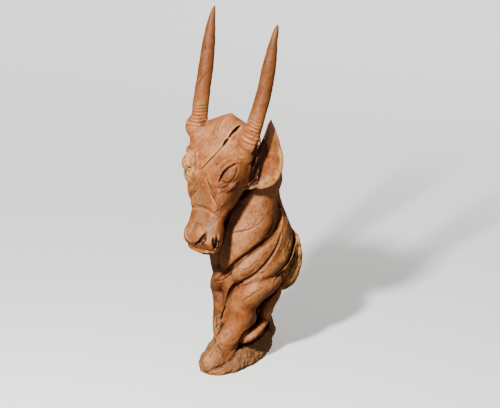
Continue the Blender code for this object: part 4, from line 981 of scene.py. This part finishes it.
def allForms():
    trunk, root = trunkForm(), rootForm()
    trees = treeOf(trunk), treeOf(root)
    forms = [("trunk", trunk), ("head", headForm()), ("root", root)]
    forms += [(name, showStrand(*trees, rows)) for name, rows in showStrands.items()]
    forms += [(name, farStrand(rows)) for name, rows in farStrands.items()]
    forms += [(f"{name} horn", hornForm(rows)) for name, rows in hornLines.items()]
    for side, sideName in ((1, "left"), (-1, "right")):
        forms.append((f"{sideName} ear", earForm(side)))
        forms += [(f"{sideName} {name}", ballForm(*mass, side)) for name, mass in headMasses.items()]
    return forms


def addForm(name, form):
    points, faces = form
    mesh = bpy.data.meshes.new(name)
    mesh.from_pydata((points * unit).tolist(), [], faces)
    obj = bpy.data.objects.new(name, mesh)
    bpy.context.scene.collection.objects.link(obj)
    return obj


def pick(objects):
    bpy.ops.object.select_all(action="DESELECT")
    for obj in objects:
        obj.select_set(True)
    bpy.context.view_layer.objects.active = objects[0]


def editWhole():
    bpy.ops.object.mode_set(mode="EDIT")
    bpy.ops.mesh.select_all(action="DESELECT")
    bpy.ops.mesh.select_all(action="SELECT")


def joinForms(forms):
    objects = [addForm(name, form) for name, form in forms]
    pick(objects)
    bpy.ops.object.join()
    carving = bpy.context.view_layer.objects.active
    editWhole()
    bpy.ops.mesh.normals_make_consistent(inside=False)
    bpy.ops.object.mode_set(mode="OBJECT")
    return carving


def applyModifier(obj, kind, **settings):
    pick([obj])
    bpy.ops.object.modifier_add(type=kind)
    modifier = obj.modifiers[-1]
    for name, value in settings.items():
        setattr(modifier, name, value)
    bpy.ops.object.modifier_apply(modifier=modifier.name)


def fuse(obj, voxel, rounds):
    applyModifier(obj, "REMESH", mode="VOXEL", voxel_size=voxel)
    applyModifier(obj, "SMOOTH", factor=0.5, iterations=rounds)


def readPoints(obj, name="co"):
    values = np.empty(3 * len(obj.data.vertices))
    obj.data.vertices.foreach_get(name, values)
    return values.reshape(-1, 3) / (unit if name == "co" else 1)


def writePoints(obj, points):
    obj.data.vertices.foreach_set("co", (points * unit).ravel())
    obj.data.update()


def surfaceTree(obj, points):
    return BVHTree.FromPolygons(points.tolist(), [tuple(polygon.vertices) for polygon in obj.data.polygons])


def dense(rows, step):
    rows = np.array(rows, float)
    length = np.linalg.norm(np.diff(rows[:, :2], axis=0), axis=1).sum()
    return smoothRows(rows, max(int(length / step), 2 * len(rows)))


def showLine(tree, rows, step=1.2):
    # the line's places on the surface, its way out, and its two widths, depth and darkness
    places, kept = [], []
    for row in dense(rows, step):
        hit = showHit(tree, row[0], row[1])
        if hit is not None:
            places.append(hit)
            scales = [pictureScale, pictureScale] + [1] * (len(row) - 4)
            kept.append(row[2:] / scales)
    return np.array(places), np.tile(nearWay, (len(places), 1)), np.array(kept)


def farLine(tree, rows):
    places, outs, kept = [], [], []
    for row in dense(rows, 1.5):
        turn = math.radians(row[0])
        out = np.array([math.sin(turn), -math.cos(turn), 0.0])
        x, y = trunkMiddle(row[1])[:2]
        hit = tree.ray_cast(Vector(np.array([x, y, row[1]]) + 60 * out), Vector(-out))[0]
        if hit is not None:
            places.append(hit)
            outs.append(out)
            kept.append(row[2:])
    return np.array(places), np.array(outs), np.array(kept)


def mirrored(line):
    places, outs, rows = line
    mirror = np.array([-1, 1, 1])
    swapped = rows[:, [1, 0] + list(range(2, rows.shape[1]))]
    return places * mirror, outs * mirror, swapped


longestJoin = 2.5  # where a line jumps further than this, in hundredths, it is broken


def press(points, normals, line, sign=1.0, dark=None):
    # moves the points along a carved line, each side over its own width, and marks how dark it is
    places, outs, rows = line
    reach = rows[:, :2].max() + 0.5
    near = np.all((points > places.min(axis=0) - reach) & (points < places.max(axis=0) + reach), axis=1)
    index = np.flatnonzero(near)
    some = points[index]
    best = np.full(len(some), np.inf)
    move = np.zeros((len(some), 3))
    shade = np.zeros(len(some))
    for k in range(len(places) - 1):
        start, step = places[k], places[k + 1] - places[k]
        length = np.linalg.norm(step)
        if length > longestJoin or length < 1e-6:
            continue
        share = np.clip((some - start) @ step / length**2, 0, 1)
        offset = some - start - share[:, None] * step
        distance = np.linalg.norm(offset, axis=1)
        row = rows[k] + share[:, None] * (rows[k + 1] - rows[k])
        left = offset @ np.cross(outs[k], step) > 0
        width = np.where(left, row[:, 0], row[:, 1])
        fall = np.clip(1 - distance / width, 0, 1)
        fall = fall**2 * (3 - 2 * fall)
        facing = normals[index] @ outs[k] > -0.2
        closer = distance < best
        best = np.where(closer, distance, best)
        move[closer] = -sign * (row[:, 2] * fall * facing)[closer, None] * outs[k]
        if dark is not None and rows.shape[1] > 3:
            shade = np.maximum(shade, row[:, 3] * np.clip(1.15 - distance / width, 0, 1) * facing)
    points[index] += move
    if dark is not None:
        dark[index] = np.maximum(dark[index], np.clip(shade * 1.3, 0, 1))


def wideCutLines(tree):
    lines = [showLine(tree, rows) for rows in showCuts.values()]
    lines += [farLine(tree, rows) for rows in farCuts.values()]
    for rows in headCuts.values():
        line = showLine(tree, rows)
        lines += [line, mirrored(line)]
    return lines


chinValues = {"mouthHeight": 36.5, "depth": 6.0, "lowest": 25.0, "share": 0.35, "back": -8.0, "blend": 2.0}


def liftChin(points):
    # the lower lip is thin: what hangs below the mouth line is drawn up towards it
    share = np.clip((chinValues["back"] - points[:, 1]) / chinValues["blend"], 0, 1) * chinValues["share"]
    share[points[:, 2] < chinValues["lowest"]] = 0
    points[:, 2] += share * np.clip(chinValues["mouthHeight"] - points[:, 2], 0, chinValues["depth"])


def carveWide(obj):
    points, normals = readPoints(obj), readPoints(obj, "normal")
    for line in wideCutLines(surfaceTree(obj, points)):
        press(points, normals, line)
    liftChin(points)
    writePoints(obj, points)


def bumps(points, size, seed):
    offset = Vector((seed * 7.3, seed * 3.1, seed * 5.7))
    return np.array([noise.noise(Vector(p) / size + offset) for p in points])


def inBalls(points, balls):
    # how far each point lies inside soft balls, each with its middle, radius and strength
    inside = np.zeros(len(points))
    for middle, radius, strength in balls:
        distance = np.linalg.norm(points - np.array(middle), axis=1) / radius
        inside = np.maximum(inside, strength * np.clip(1.6 - 1.1 * distance, 0, 1))
    return np.clip(inside, 0, 1)


def grainFrame(points):
    # places measured along the grain and across it
    along = grainWay / np.linalg.norm(grainWay)
    across = np.cross(nearWay, along)
    return np.column_stack([points @ along, points @ across, points @ nearWay])


# Each roughness: how high it stands and how wide its bumps are, in hundredths; those along the grain
# have three shares of a step instead
reliefValues = {
    "dents": (0.12, 3.4),
    "pits": (0.05, 1.3),
    "fibres": (0.04, (0.10, 1.6, 1.6)),
    "lumps": (0.30, 2.4),
    "crumbs": (0.12, 0.9),
    "splinters": (0.34, (0.16, 1.1, 1.1)),
    "fineSplinters": (0.20, (0.3, 2.6, 2.6)),
    "farWrinkleDepth": 0.5,
    "farWrinkleDarkness": 0.3,
    "wrinkleStep": 0.8,
    "crackStep": 0.6,
}


def roughness(points, name, seed):
    height, size = reliefValues[name]
    if isinstance(size, tuple):
        return height * bumps(points * size, 1.0, seed)
    return height * bumps(points, size, seed)


def wrinkleLines(tree, farShares):
    # each wrinkle and its mirror image, which is shallower and paler
    lines = []
    for rows in headWrinkles.values():
        line = showLine(tree, rows, reliefValues["wrinkleStep"])
        places, outs, widths = mirrored(line)
        lines += [line, (places, outs, widths * farShares)]
    return lines


def crackLines(tree):
    rowsList = [*fineCuts.values(), *hornRingRows()]
    lines = [showLine(tree, rows, reliefValues["crackStep"]) for rows in rowsList]
    return lines + [farLine(tree, rows) for rows in farCracks.values()]


def carveFine(obj):
    points, normals = readPoints(obj), readPoints(obj, "normal")
    tree = surfaceTree(obj, points)
    for rows in headRidges.values():
        line = showLine(tree, rows, reliefValues["wrinkleStep"])
        press(points, normals, line, sign=-1)
        press(points, normals, mirrored(line), sign=-1)
    for line in wrinkleLines(tree, (1, 1, reliefValues["farWrinkleDepth"], 1)):
        press(points, normals, line)
    masks = maskValues(points, normals, tree)
    grain = grainFrame(points)
    relief = roughness(points, "dents", 1) + roughness(points, "pits", 2) + roughness(grain, "fibres", 3)
    chips = roughness(points, "lumps", 4) + roughness(points, "crumbs", 5)
    chips += roughness(grain, "splinters", 6) + roughness(grain, "fineSplinters", 7)
    relief += masks["rough"] * chips
    points += relief[:, None] * normals
    for line in crackLines(tree):
        press(points, normals, line)
    writePoints(obj, points)


def hornRingRows():
    # each ring as a line that bends down in its middle, with rows as in the fine lines
    lines = []
    for side, rings in hornRings.items():
        halfLength, slope = hornRingWays[side]
        for x, y, depth, dark in rings:
            lines.append([
                (x + t * halfLength, y + slope * t * halfLength + 1.8 * (1 - t * t) - 0.9, 0.75, 0.75,
                 depth * (1 - 0.4 * t * t), dark)
                for t in (-1, -0.5, 0, 0.5, 1)
            ])
    return lines


def patchBalls(tree, rows):
    # soft balls at picture places on the surface: picture x and y, radius in picture steps, strength
    balls = []
    for x, y, radius, strength in rows:
        hit = showHit(tree, x, y)
        if hit is not None:
            balls.append((tuple(hit), radius / pictureScale, strength))
    return balls


# the edge of the painted shadow in the ear's cup
earShadeEdge = [(118, 276), (130, 275), (149, 270), (164, 264), (181, 259.5), (190, 255)]  # picture y and x
rootBorder = {"top": 9.6, "fade": 2.6, "roughness": 0.85}
hornBorder = {"foot": 71.5, "fade": 9}


def maskValues(points, normals, tree):
    # where the wood is sapwood, pink, weathered, burnt or left rough, and where shade is painted
    masks = {}
    for name, rows in patches.items():
        masks[name] = inBalls(points, patchBalls(tree, rows) + farBalls.get(name, []))
    # painted shadow: the cup of the ear is darkened on the side that the head keeps from the light
    x = pictureOrigin[0] + pictureScale * points @ rightWay
    y = pictureOrigin[1] - pictureScale * points @ upWay
    border = np.interp(y, *np.array(earShadeEdge).T)
    inCup = np.clip(3 * normals @ np.array(earOpening) + 0.7, 0, 1)
    masks["earShade"] *= np.clip(0.5 + (border - x) / 1.6, 0, 1) * inCup
    foot = inBalls(points, patchBalls(tree, footPlaces))
    low = np.clip((rootBorder["top"] - points[:, 2]) / rootBorder["fade"], 0, 1) * (1 - foot)
    masks["rough"] = np.maximum(masks["rough"], rootBorder["roughness"] * low)
    masks["weathered"] = np.maximum(masks["weathered"], low)
    masks["horn"] = np.clip((points[:, 2] - hornBorder["foot"]) / hornBorder["fade"], 0, 1)
    return masks


def thinOut(obj, triangles):
    have = sum(len(polygon.vertices) - 2 for polygon in obj.data.polygons)
    applyModifier(obj, "DECIMATE", ratio=min(1, triangles / have))


def standFlat(obj):
    pick([obj])
    editWhole()
    bpy.ops.mesh.bisect(plane_co=(0, 0, 0), plane_no=(0, 0, -1), clear_outer=True, use_fill=True)
    bpy.ops.mesh.select_all(action="DESELECT")
    bpy.ops.object.mode_set(mode="OBJECT")


def dropCrumbs(obj):
    # what the cuts left loose goes: all that isn't linked to the tip of the higher horn
    pick([obj])
    bpy.ops.object.mode_set(mode="EDIT")
    bpy.ops.mesh.select_all(action="DESELECT")
    bpy.ops.object.mode_set(mode="OBJECT")
    tip = int(np.argmax(readPoints(obj)[:, 2]))
    obj.data.vertices[tip].select = True
    bpy.ops.object.mode_set(mode="EDIT")
    bpy.ops.mesh.select_linked()
    bpy.ops.mesh.select_all(action="INVERT")
    bpy.ops.mesh.delete(type="VERT")
    bpy.ops.object.mode_set(mode="OBJECT")


def edgeIndex(obj):
    ends = np.empty(2 * len(obj.data.edges), int)
    obj.data.edges.foreach_get("vertices", ends)
    return ends.reshape(-1, 2)


def averaged(values, ends, rounds=1):
    # each point takes the mean of its neighbours
    count = np.bincount(ends.ravel(), minlength=len(values))[:, None]
    values = values.reshape(len(values), -1)
    for _ in range(rounds):
        total = np.zeros_like(values)
        for column in range(values.shape[1]):
            for one, other in ((0, 1), (1, 0)):
                total[:, column] += np.bincount(ends[:, one], values[ends[:, other], column], len(values))
        values = total / np.maximum(count, 1)
    return values


edgeGain = 4.0
hollowGain = 1.7
goldenTurn = 2.39996  # spreads the rays evenly


def edgeValues(points, normals, ends):
    # above one half where the surface turns outwards, below in creases
    near = averaged(points, ends, 3)
    turn = np.einsum("ij,ij->i", points - near, normals)
    return np.clip(0.5 + edgeGain * averaged(turn, ends, 1)[:, 0], 0, 1)


def hollowShadeValues(points, normals, ends, tree):
    # how shut in each point is, by short rays over the half ball above it, for painted shade in the hollows
    directions = []
    for k in range(carvingValues["hollowRays"]):
        rise = 1 - (k + 0.5) / carvingValues["hollowRays"]
        turn = k * goldenTurn
        flat = math.sqrt(1 - rise * rise)
        directions.append((math.cos(turn) * flat, math.sin(turn) * flat, rise))
    directions = np.array(directions)
    side = np.cross(normals, (0.36, 0.48, 0.8))
    side /= np.maximum(np.linalg.norm(side, axis=1), 1e-6)[:, None]
    other = np.cross(normals, side)
    shut = np.zeros(len(points))
    starts = points + 0.12 * normals
    reach = carvingValues["hollowReach"]
    for across, beside, rise in directions:
        ways = across * side + beside * other + rise * normals
        hits = [tree.ray_cast(Vector(p), Vector(w), reach)[3] for p, w in zip(starts, ways)]
        distance = np.array([reach if hit is None else hit for hit in hits])
        shut += (1 - distance / reach) * (0.35 + rise)
    shut /= (0.35 + directions[:, 2]).sum()
    return np.clip(averaged(shut, ends, 2)[:, 0] * hollowGain, 0, 1)


def markSurface(obj):
    # stores what the wood's colours depend on at each point of the mesh
    points, normals = readPoints(obj), readPoints(obj, "normal")
    tree = surfaceTree(obj, points)
    ends = edgeIndex(obj)
    masks = maskValues(points, normals, tree)
    dark = np.zeros(len(points))
    lines = crackLines(tree) + wrinkleLines(tree, (1, 1, 1, reliefValues["farWrinkleDarkness"]))
    # painted shade in the deepest grooves
    lines += [showLine(tree, rows) for rows in grooveShades.values()]
    for line in lines:
        press(points.copy(), normals, line, dark=dark)
    ragged = bumps(points, 0.55, 8)
    # painted shade in the nostrils and mouth corners joins the dark of the lines
    masks["dark"] = np.maximum(dark, np.clip(3 * masks.pop("nostrilAndMouthShade") - 1.4 + 3.0 * ragged, 0, 1))
    masks["edge"] = edgeValues(points, normals, ends)
    # painted shade: the more shut in a point is, the darker its colour
    masks["hollow"] = hollowShadeValues(points, normals, ends, tree)
    for name, values in masks.items():
        layer = obj.data.attributes.new(name, "FLOAT", "POINT")
        layer.data.foreach_set("value", values.astype(np.float32))


def mixColour(graph, factor, first, second, blend="MIX"):
    mix = graph.nodes.new("ShaderNodeMix")
    mix.data_type = "RGBA"
    mix.blend_type = blend
    for socket, value in ((mix.inputs[0], factor), (mix.inputs[6], first), (mix.inputs[7], second)):
        if isinstance(value, bpy.types.NodeSocket):
            graph.links.new(value, socket)
        elif isinstance(value, tuple):
            socket.default_value = (*value, 1)
        else:
            socket.default_value = value
    return mix.outputs[2]


def noiseNode(graph, vector, scale, detail, roughness=0.55, distortion=0.0):
    node = graph.nodes.new("ShaderNodeTexNoise")
    node.inputs["Scale"].default_value = scale
    node.inputs["Detail"].default_value = detail
    node.inputs["Roughness"].default_value = roughness
    node.inputs["Distortion"].default_value = distortion
    graph.links.new(vector, node.inputs["Vector"])
    return node.outputs["Fac"]


def rampNode(graph, factor, low, high, lowValue=0.0, highValue=1.0):
    node = graph.nodes.new("ShaderNodeMapRange")
    node.interpolation_type = "SMOOTHSTEP"
    node.inputs["From Min"].default_value = low
    node.inputs["From Max"].default_value = high
    node.inputs["To Min"].default_value = lowValue
    node.inputs["To Max"].default_value = highValue
    graph.links.new(factor, node.inputs["Value"])
    return node.outputs["Result"]


def mathNode(graph, operation, first, second):
    node = graph.nodes.new("ShaderNodeMath")
    node.operation = operation
    for socket, value in zip(node.inputs, (first, second)):
        if isinstance(value, bpy.types.NodeSocket):
            graph.links.new(value, socket)
        else:
            socket.default_value = value
    return node.outputs[0]


def attributeNode(graph, name):
    node = graph.nodes.new("ShaderNodeAttribute")
    node.attribute_name = name
    return node.outputs["Fac"]


woodValues = {
    "heartLight": (0.330, 0.094, 0.019),
    "heartMid": (0.215, 0.056, 0.011),
    "heartOlive": (0.270, 0.112, 0.026),
    "heartPink": (0.390, 0.150, 0.056),
    # dark heartwood for the streaks and pores, and painted shade in the creases
    "darkHeartAndShade": (0.075, 0.016, 0.004),
    # darker umber wood, also painted shade on the cheek, round the eye and down the front mass
    "umberAndShade": (0.115, 0.032, 0.008),
    "horn": (0.150, 0.043, 0.008),
    "bloodRed": (0.150, 0.030, 0.016),
    "sapwood": (0.430, 0.195, 0.055),
    "weathered": (0.215, 0.098, 0.036),
    # burnt bark, also painted shade in the nostrils, the mouth corners and under the tendon
    "charAndShade": (0.020, 0.013, 0.009),
    "wornEdge": (0.520, 0.220, 0.075),
    # painted shade in the hollows and in the ear's cup
    "paintedShadeDark": (0.040, 0.012, 0.005),
    # black for the cracks, and painted shade in the deepest grooves, the nostrils and the mouth corners
    "crackAndShadeDark": (0.010, 0.006, 0.004),
    "roughness": 0.52,
    "specular": 0.24,
    "bumpStrength": 0.45,
    "bumpHeight": 0.0016,
}


def makeWood():
    material = bpy.data.materials.new("oiledRedwood")
    material.use_nodes = True
    graph = material.node_tree
    nodes, links = graph.nodes, graph.links
    shader = nodes["Principled BSDF"]
    shader.inputs["Specular IOR Level"].default_value = woodValues["specular"]
    place = nodes.new("ShaderNodeTexCoord").outputs["Object"]
    turned = nodes.new("ShaderNodeMapping")
    links.new(place, turned.inputs["Vector"])
    turned.inputs["Rotation"].default_value = Vector(grainWay).to_track_quat("X", "Z").inverted().to_euler()
    grain = nodes.new("ShaderNodeMapping")
    grain.inputs["Scale"].default_value = (0.08, 1.0, 1.0)
    links.new(turned.outputs["Vector"], grain.inputs["Vector"])
    streaks = noiseNode(graph, grain.outputs["Vector"], 95, 5, 0.62, 0.5)
    fibres = noiseNode(graph, grain.outputs["Vector"], 430, 3, 0.5, 0.3)
    clouds = noiseNode(graph, place, 11, 5, 0.6, 0.5)
    patchy = noiseNode(graph, place, 34, 5, 0.65, 0.6)
    specks = noiseNode(graph, place, 330, 3, 0.6)
    ragged = noiseNode(graph, grain.outputs["Vector"], 190, 5, 0.7, 0.8)

    # heartwood between orange brown and darker brown, in clouds and faint streaks
    colour = mixColour(graph, rampNode(graph, clouds, 0.36, 0.64),
                       woodValues["heartLight"], woodValues["heartMid"])
    olive = noiseNode(graph, place, 17, 4, 0.6, 0.8)
    colour = mixColour(graph, rampNode(graph, olive, 0.48, 0.66, 0.0, 0.75),
                       colour, woodValues["heartOlive"])
    pink = mathNode(graph, "MULTIPLY", attributeNode(graph, "pink"),
                    rampNode(graph, patchy, 0.22, 0.5, 0.45, 1.0))
    colour = mixColour(graph, pink, colour, woodValues["heartPink"])
    colour = mixColour(graph, rampNode(graph, streaks, 0.50, 0.70, 0.0, 0.50),
                       colour, woodValues["darkHeartAndShade"])

    # umber wood that is partly painted shade on the cheek, round the eye and down the front mass, and the
    # darker horns
    for name, strength in (("umberAndShade", 0.8), ("horn", 0.85)):
        share = mathNode(graph, "MULTIPLY", attributeNode(graph, name), strength)
        colour = mixColour(graph, share, colour, woodValues[name])
    colour = mixColour(graph, rampNode(graph, attributeNode(graph, "bloodRed"), 0.3, 0.8, 0.0, 0.8),
                       colour, woodValues["bloodRed"])

    # pale sapwood, grey weathered skin, and burnt bark that also paints shade in the nostrils, the mouth
    # corners and under the tendon, each with a ragged border
    border = rampNode(graph, patchy, 0.30, 0.70, -0.30, 0.30)
    for name, strength in (("sapwood", 0.95), ("weathered", 0.85), ("charAndShade", 0.95)):
        edge = mathNode(graph, "ADD", attributeNode(graph, name), border)
        share = rampNode(graph, edge, 0.25, 0.85, 0.0, strength)
        if name == "charAndShade":
            share = mathNode(graph, "MULTIPLY", share, rampNode(graph, ragged, 0.40, 0.56))
        colour = mixColour(graph, share, colour, woodValues[name])

    # worn pale edges, painted shade in the creases and hollows, fine fibres and pores, black in the cracks,
    # and painted shade in the deepest grooves, the nostrils and the mouth corners
    worn = rampNode(graph, attributeNode(graph, "edge"), 0.55, 0.85, 0.0, 0.45)
    for name in ("umberAndShade", "horn"):
        kept = rampNode(graph, attributeNode(graph, name), 0.1, 0.8, 1.0, 0.15)
        worn = mathNode(graph, "MULTIPLY", worn, kept)
    colour = mixColour(graph, worn, colour, woodValues["wornEdge"])
    # painted shade: the creases are darkened towards the dark heartwood tone
    crease = rampNode(graph, attributeNode(graph, "edge"), 0.44, 0.18, 0.0, 0.55)
    colour = mixColour(graph, crease, colour, woodValues["darkHeartAndShade"])
    # painted shade: the hollows and the shaded side of the ear's cup are darkened
    hollow = rampNode(graph, attributeNode(graph, "hollow"), 0.30, 0.95, 0.0, 0.75)
    paler = rampNode(graph, attributeNode(graph, "sapwood"), 0.3, 0.9, 1.0, 0.3)
    hollow = mathNode(graph, "MULTIPLY", hollow, paler)
    shaded = rampNode(graph, attributeNode(graph, "earShade"), 0.30, 0.55, 0.0, 0.94)
    hollow = mathNode(graph, "MAXIMUM", hollow, mathNode(graph, "MULTIPLY", shaded, paler))
    colour = mixColour(graph, hollow, colour, woodValues["paintedShadeDark"])
    fine = rampNode(graph, fibres, 0.30, 0.75, 1.08, 0.86)
    colour = mixColour(graph, 1.0, colour, fine, "MULTIPLY")
    tone = rampNode(graph, patchy, 0.28, 0.72, 0.80, 1.18)
    colour = mixColour(graph, 1.0, colour, tone, "MULTIPLY")
    mottle = noiseNode(graph, place, 130, 6, 0.7, 0.4)
    mottle = rampNode(graph, mottle, 0.32, 0.68, 0.82, 1.16)
    colour = mixColour(graph, 1.0, colour, mottle, "MULTIPLY")
    pores = rampNode(graph, specks, 0.64, 0.72, 0.0, 0.40)
    colour = mixColour(graph, pores, colour, woodValues["darkHeartAndShade"])
    # black in the cracks, and painted shade in the deepest grooves, the nostrils and the mouth corners
    colour = mixColour(graph, attributeNode(graph, "dark"), colour, woodValues["crackAndShadeDark"])
    links.new(colour, shader.inputs["Base Color"])

    dullness = woodValues["roughness"]
    gloss = rampNode(graph, patchy, 0.3, 0.7, dullness - 0.06, dullness + 0.10)
    dull = mathNode(graph, "MAXIMUM", attributeNode(graph, "rough"), attributeNode(graph, "dark"))
    gloss = mathNode(graph, "ADD", gloss, mathNode(graph, "MULTIPLY", dull, 0.35))
    links.new(gloss, shader.inputs["Roughness"])

    height = mathNode(graph, "ADD", mathNode(graph, "MULTIPLY", fibres, 0.5), streaks)
    height = mathNode(graph, "ADD", height, mathNode(graph, "MULTIPLY", patchy, 1.2))
    harsh = mathNode(graph, "MULTIPLY", attributeNode(graph, "rough"), 5.0)
    harsh = mathNode(graph, "MULTIPLY", ragged, harsh)
    height = mathNode(graph, "ADD", height, harsh)
    bump = nodes.new("ShaderNodeBump")
    bump.inputs["Strength"].default_value = woodValues["bumpStrength"]
    bump.inputs["Distance"].default_value = woodValues["bumpHeight"]
    links.new(height, bump.inputs["Height"])
    links.new(bump.outputs["Normal"], shader.inputs["Normal"])
    return material


def makeCarving():
    carving = joinForms(allForms())
    carving.name = "antelopeHeadCarving"
    carving.data.name = "antelopeHeadCarving"
    fuse(carving, carvingValues["firstVoxel"], 3)
    print("forms fused:", len(carving.data.vertices), "points")
    carveWide(carving)
    fuse(carving, carvingValues["secondVoxel"], 1)
    print("wide cuts carved:", len(carving.data.vertices), "points")
    carveFine(carving)
    print("fine relief carved")
    thinOut(carving, carvingValues["triangles"])
    standFlat(carving)
    dropCrumbs(carving)
    print("standing flat with", len(carving.data.polygons), "faces")
    markSurface(carving)
    carving.data.materials.clear()
    carving.data.materials.append(makeWood())
    pick([carving])
    bpy.ops.object.shade_smooth()
    return carving


stageValues = {
    "floorSize": 40,
    "floorColour": (0.86, 0.85, 0.83),
    "floorRoughness": 0.9,
    "nearFloorGlow": 0.42,
    "farFloorGlow": 1.45,
    "backdrop": 1.50,
    "skyColour": (1.0, 0.99, 0.97),
    "skyStrength": 0.24,
}


def makeFloor():
    bpy.ops.mesh.primitive_plane_add(size=stageValues["floorSize"], location=(0, 0, 0))
    floor = bpy.context.active_object
    floor.name = "floor"
    material = bpy.data.materials.new("paleFloor")
    material.use_nodes = True
    graph = material.node_tree
    nodes, links = graph.nodes, graph.links
    shader = nodes["Principled BSDF"]
    shader.inputs["Base Color"].default_value = (*stageValues["floorColour"], 1)
    shader.inputs["Roughness"].default_value = stageValues["floorRoughness"]
    # the floor stays pale far from the light
    away = nodes.new("ShaderNodeVectorMath")
    away.operation = "LENGTH"
    links.new(nodes.new("ShaderNodeTexCoord").outputs["Object"], away.inputs[0])
    glow = rampNode(graph, away.outputs["Value"], 1.0, 5.0,
                    stageValues["nearFloorGlow"], stageValues["farFloorGlow"])
    shader.inputs["Emission Color"].default_value = (*stageValues["floorColour"], 1)
    links.new(glow, shader.inputs["Emission Strength"])
    floor.data.materials.append(material)
    # no light comes back up from it, so that the shaded sides stay dark
    floor.visible_diffuse = False
    floor.visible_glossy = False
    return floor


def addArea(name, place, target, energy, size):
    bpy.ops.object.light_add(type="AREA", location=place)
    light = bpy.context.active_object
    light.name = name
    light.data.energy = energy
    light.data.size = size
    light.visible_camera = False
    light.rotation_euler = (Vector(target) - Vector(place)).to_track_quat("-Z", "Y").to_euler()
    return light


def fromView(right, up, near):
    return Vector(rightWay) * right + Vector(upWay) * up + Vector(nearWay) * near


# Each lamp: how far right, up and near of the middle it stands in the show view, its energy and size
lampValues = {
    "keyLight": ((-1.27, 1.22, 3.22), 390, 0.30),
    "fillLight": ((2.6, 0.6, 2.6), 11, 2.4),
    "backLight": ((0.8, 2.4, -2.6), 26, 2.0),
}
lampTarget = (0, 0, 0.55)


def makeLights():
    target = Vector(lampTarget)
    for name, (place, energy, size) in lampValues.items():
        addArea(name, target + fromView(*place), target, energy, size)
    world = bpy.data.worlds.new("softSky") if not bpy.data.worlds else bpy.data.worlds[0]
    bpy.context.scene.world = world
    world.use_nodes = True
    graph = world.node_tree
    sky = graph.nodes["Background"]
    sky.inputs["Color"].default_value = (*stageValues["skyColour"], 1)
    seenDirectly = graph.nodes.new("ShaderNodeLightPath").outputs["Is Camera Ray"]
    strength = rampNode(graph, seenDirectly, 0.0, 1.0, stageValues["skyStrength"], stageValues["backdrop"])
    graph.links.new(strength, sky.inputs["Strength"])


cameraValues = {
    "distance": 15.0,
    "pictureMiddle": (250, 204),
    "pictureWidth": 500,
    "nearness": 10,
    "sensorWidth": 36,
    "clipEnd": 100,
}


def makeCamera():
    distance, sensor = cameraValues["distance"], cameraValues["sensorWidth"]
    data = bpy.data.cameras.new("camera")
    camera = bpy.data.objects.new("camera", data)
    bpy.context.scene.collection.objects.link(camera)
    target = seen(*cameraValues["pictureMiddle"], cameraValues["nearness"]) * unit
    camera.location = Vector(target + nearWay * distance)
    camera.rotation_euler = (-Vector(nearWay)).to_track_quat("-Z", "Y").to_euler()
    data.sensor_width = sensor
    data.lens = pictureScale / unit * distance * sensor / cameraValues["pictureWidth"]
    data.clip_end = cameraValues["clipEnd"]
    bpy.context.scene.camera = camera


carving = makeCarving()
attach(carving, "root")
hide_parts("antelope_head_carving")
print("carving in place")

floor = makeFloor()
floor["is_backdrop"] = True
makeLights()
makeCamera()
print("stage, lights and camera set")

sizes = {"cad": firstBounds, "visual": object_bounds()}
for name, box in sizes.items():
    sizes[name] = [[round(float(value), 4) for value in corner] for corner in box]
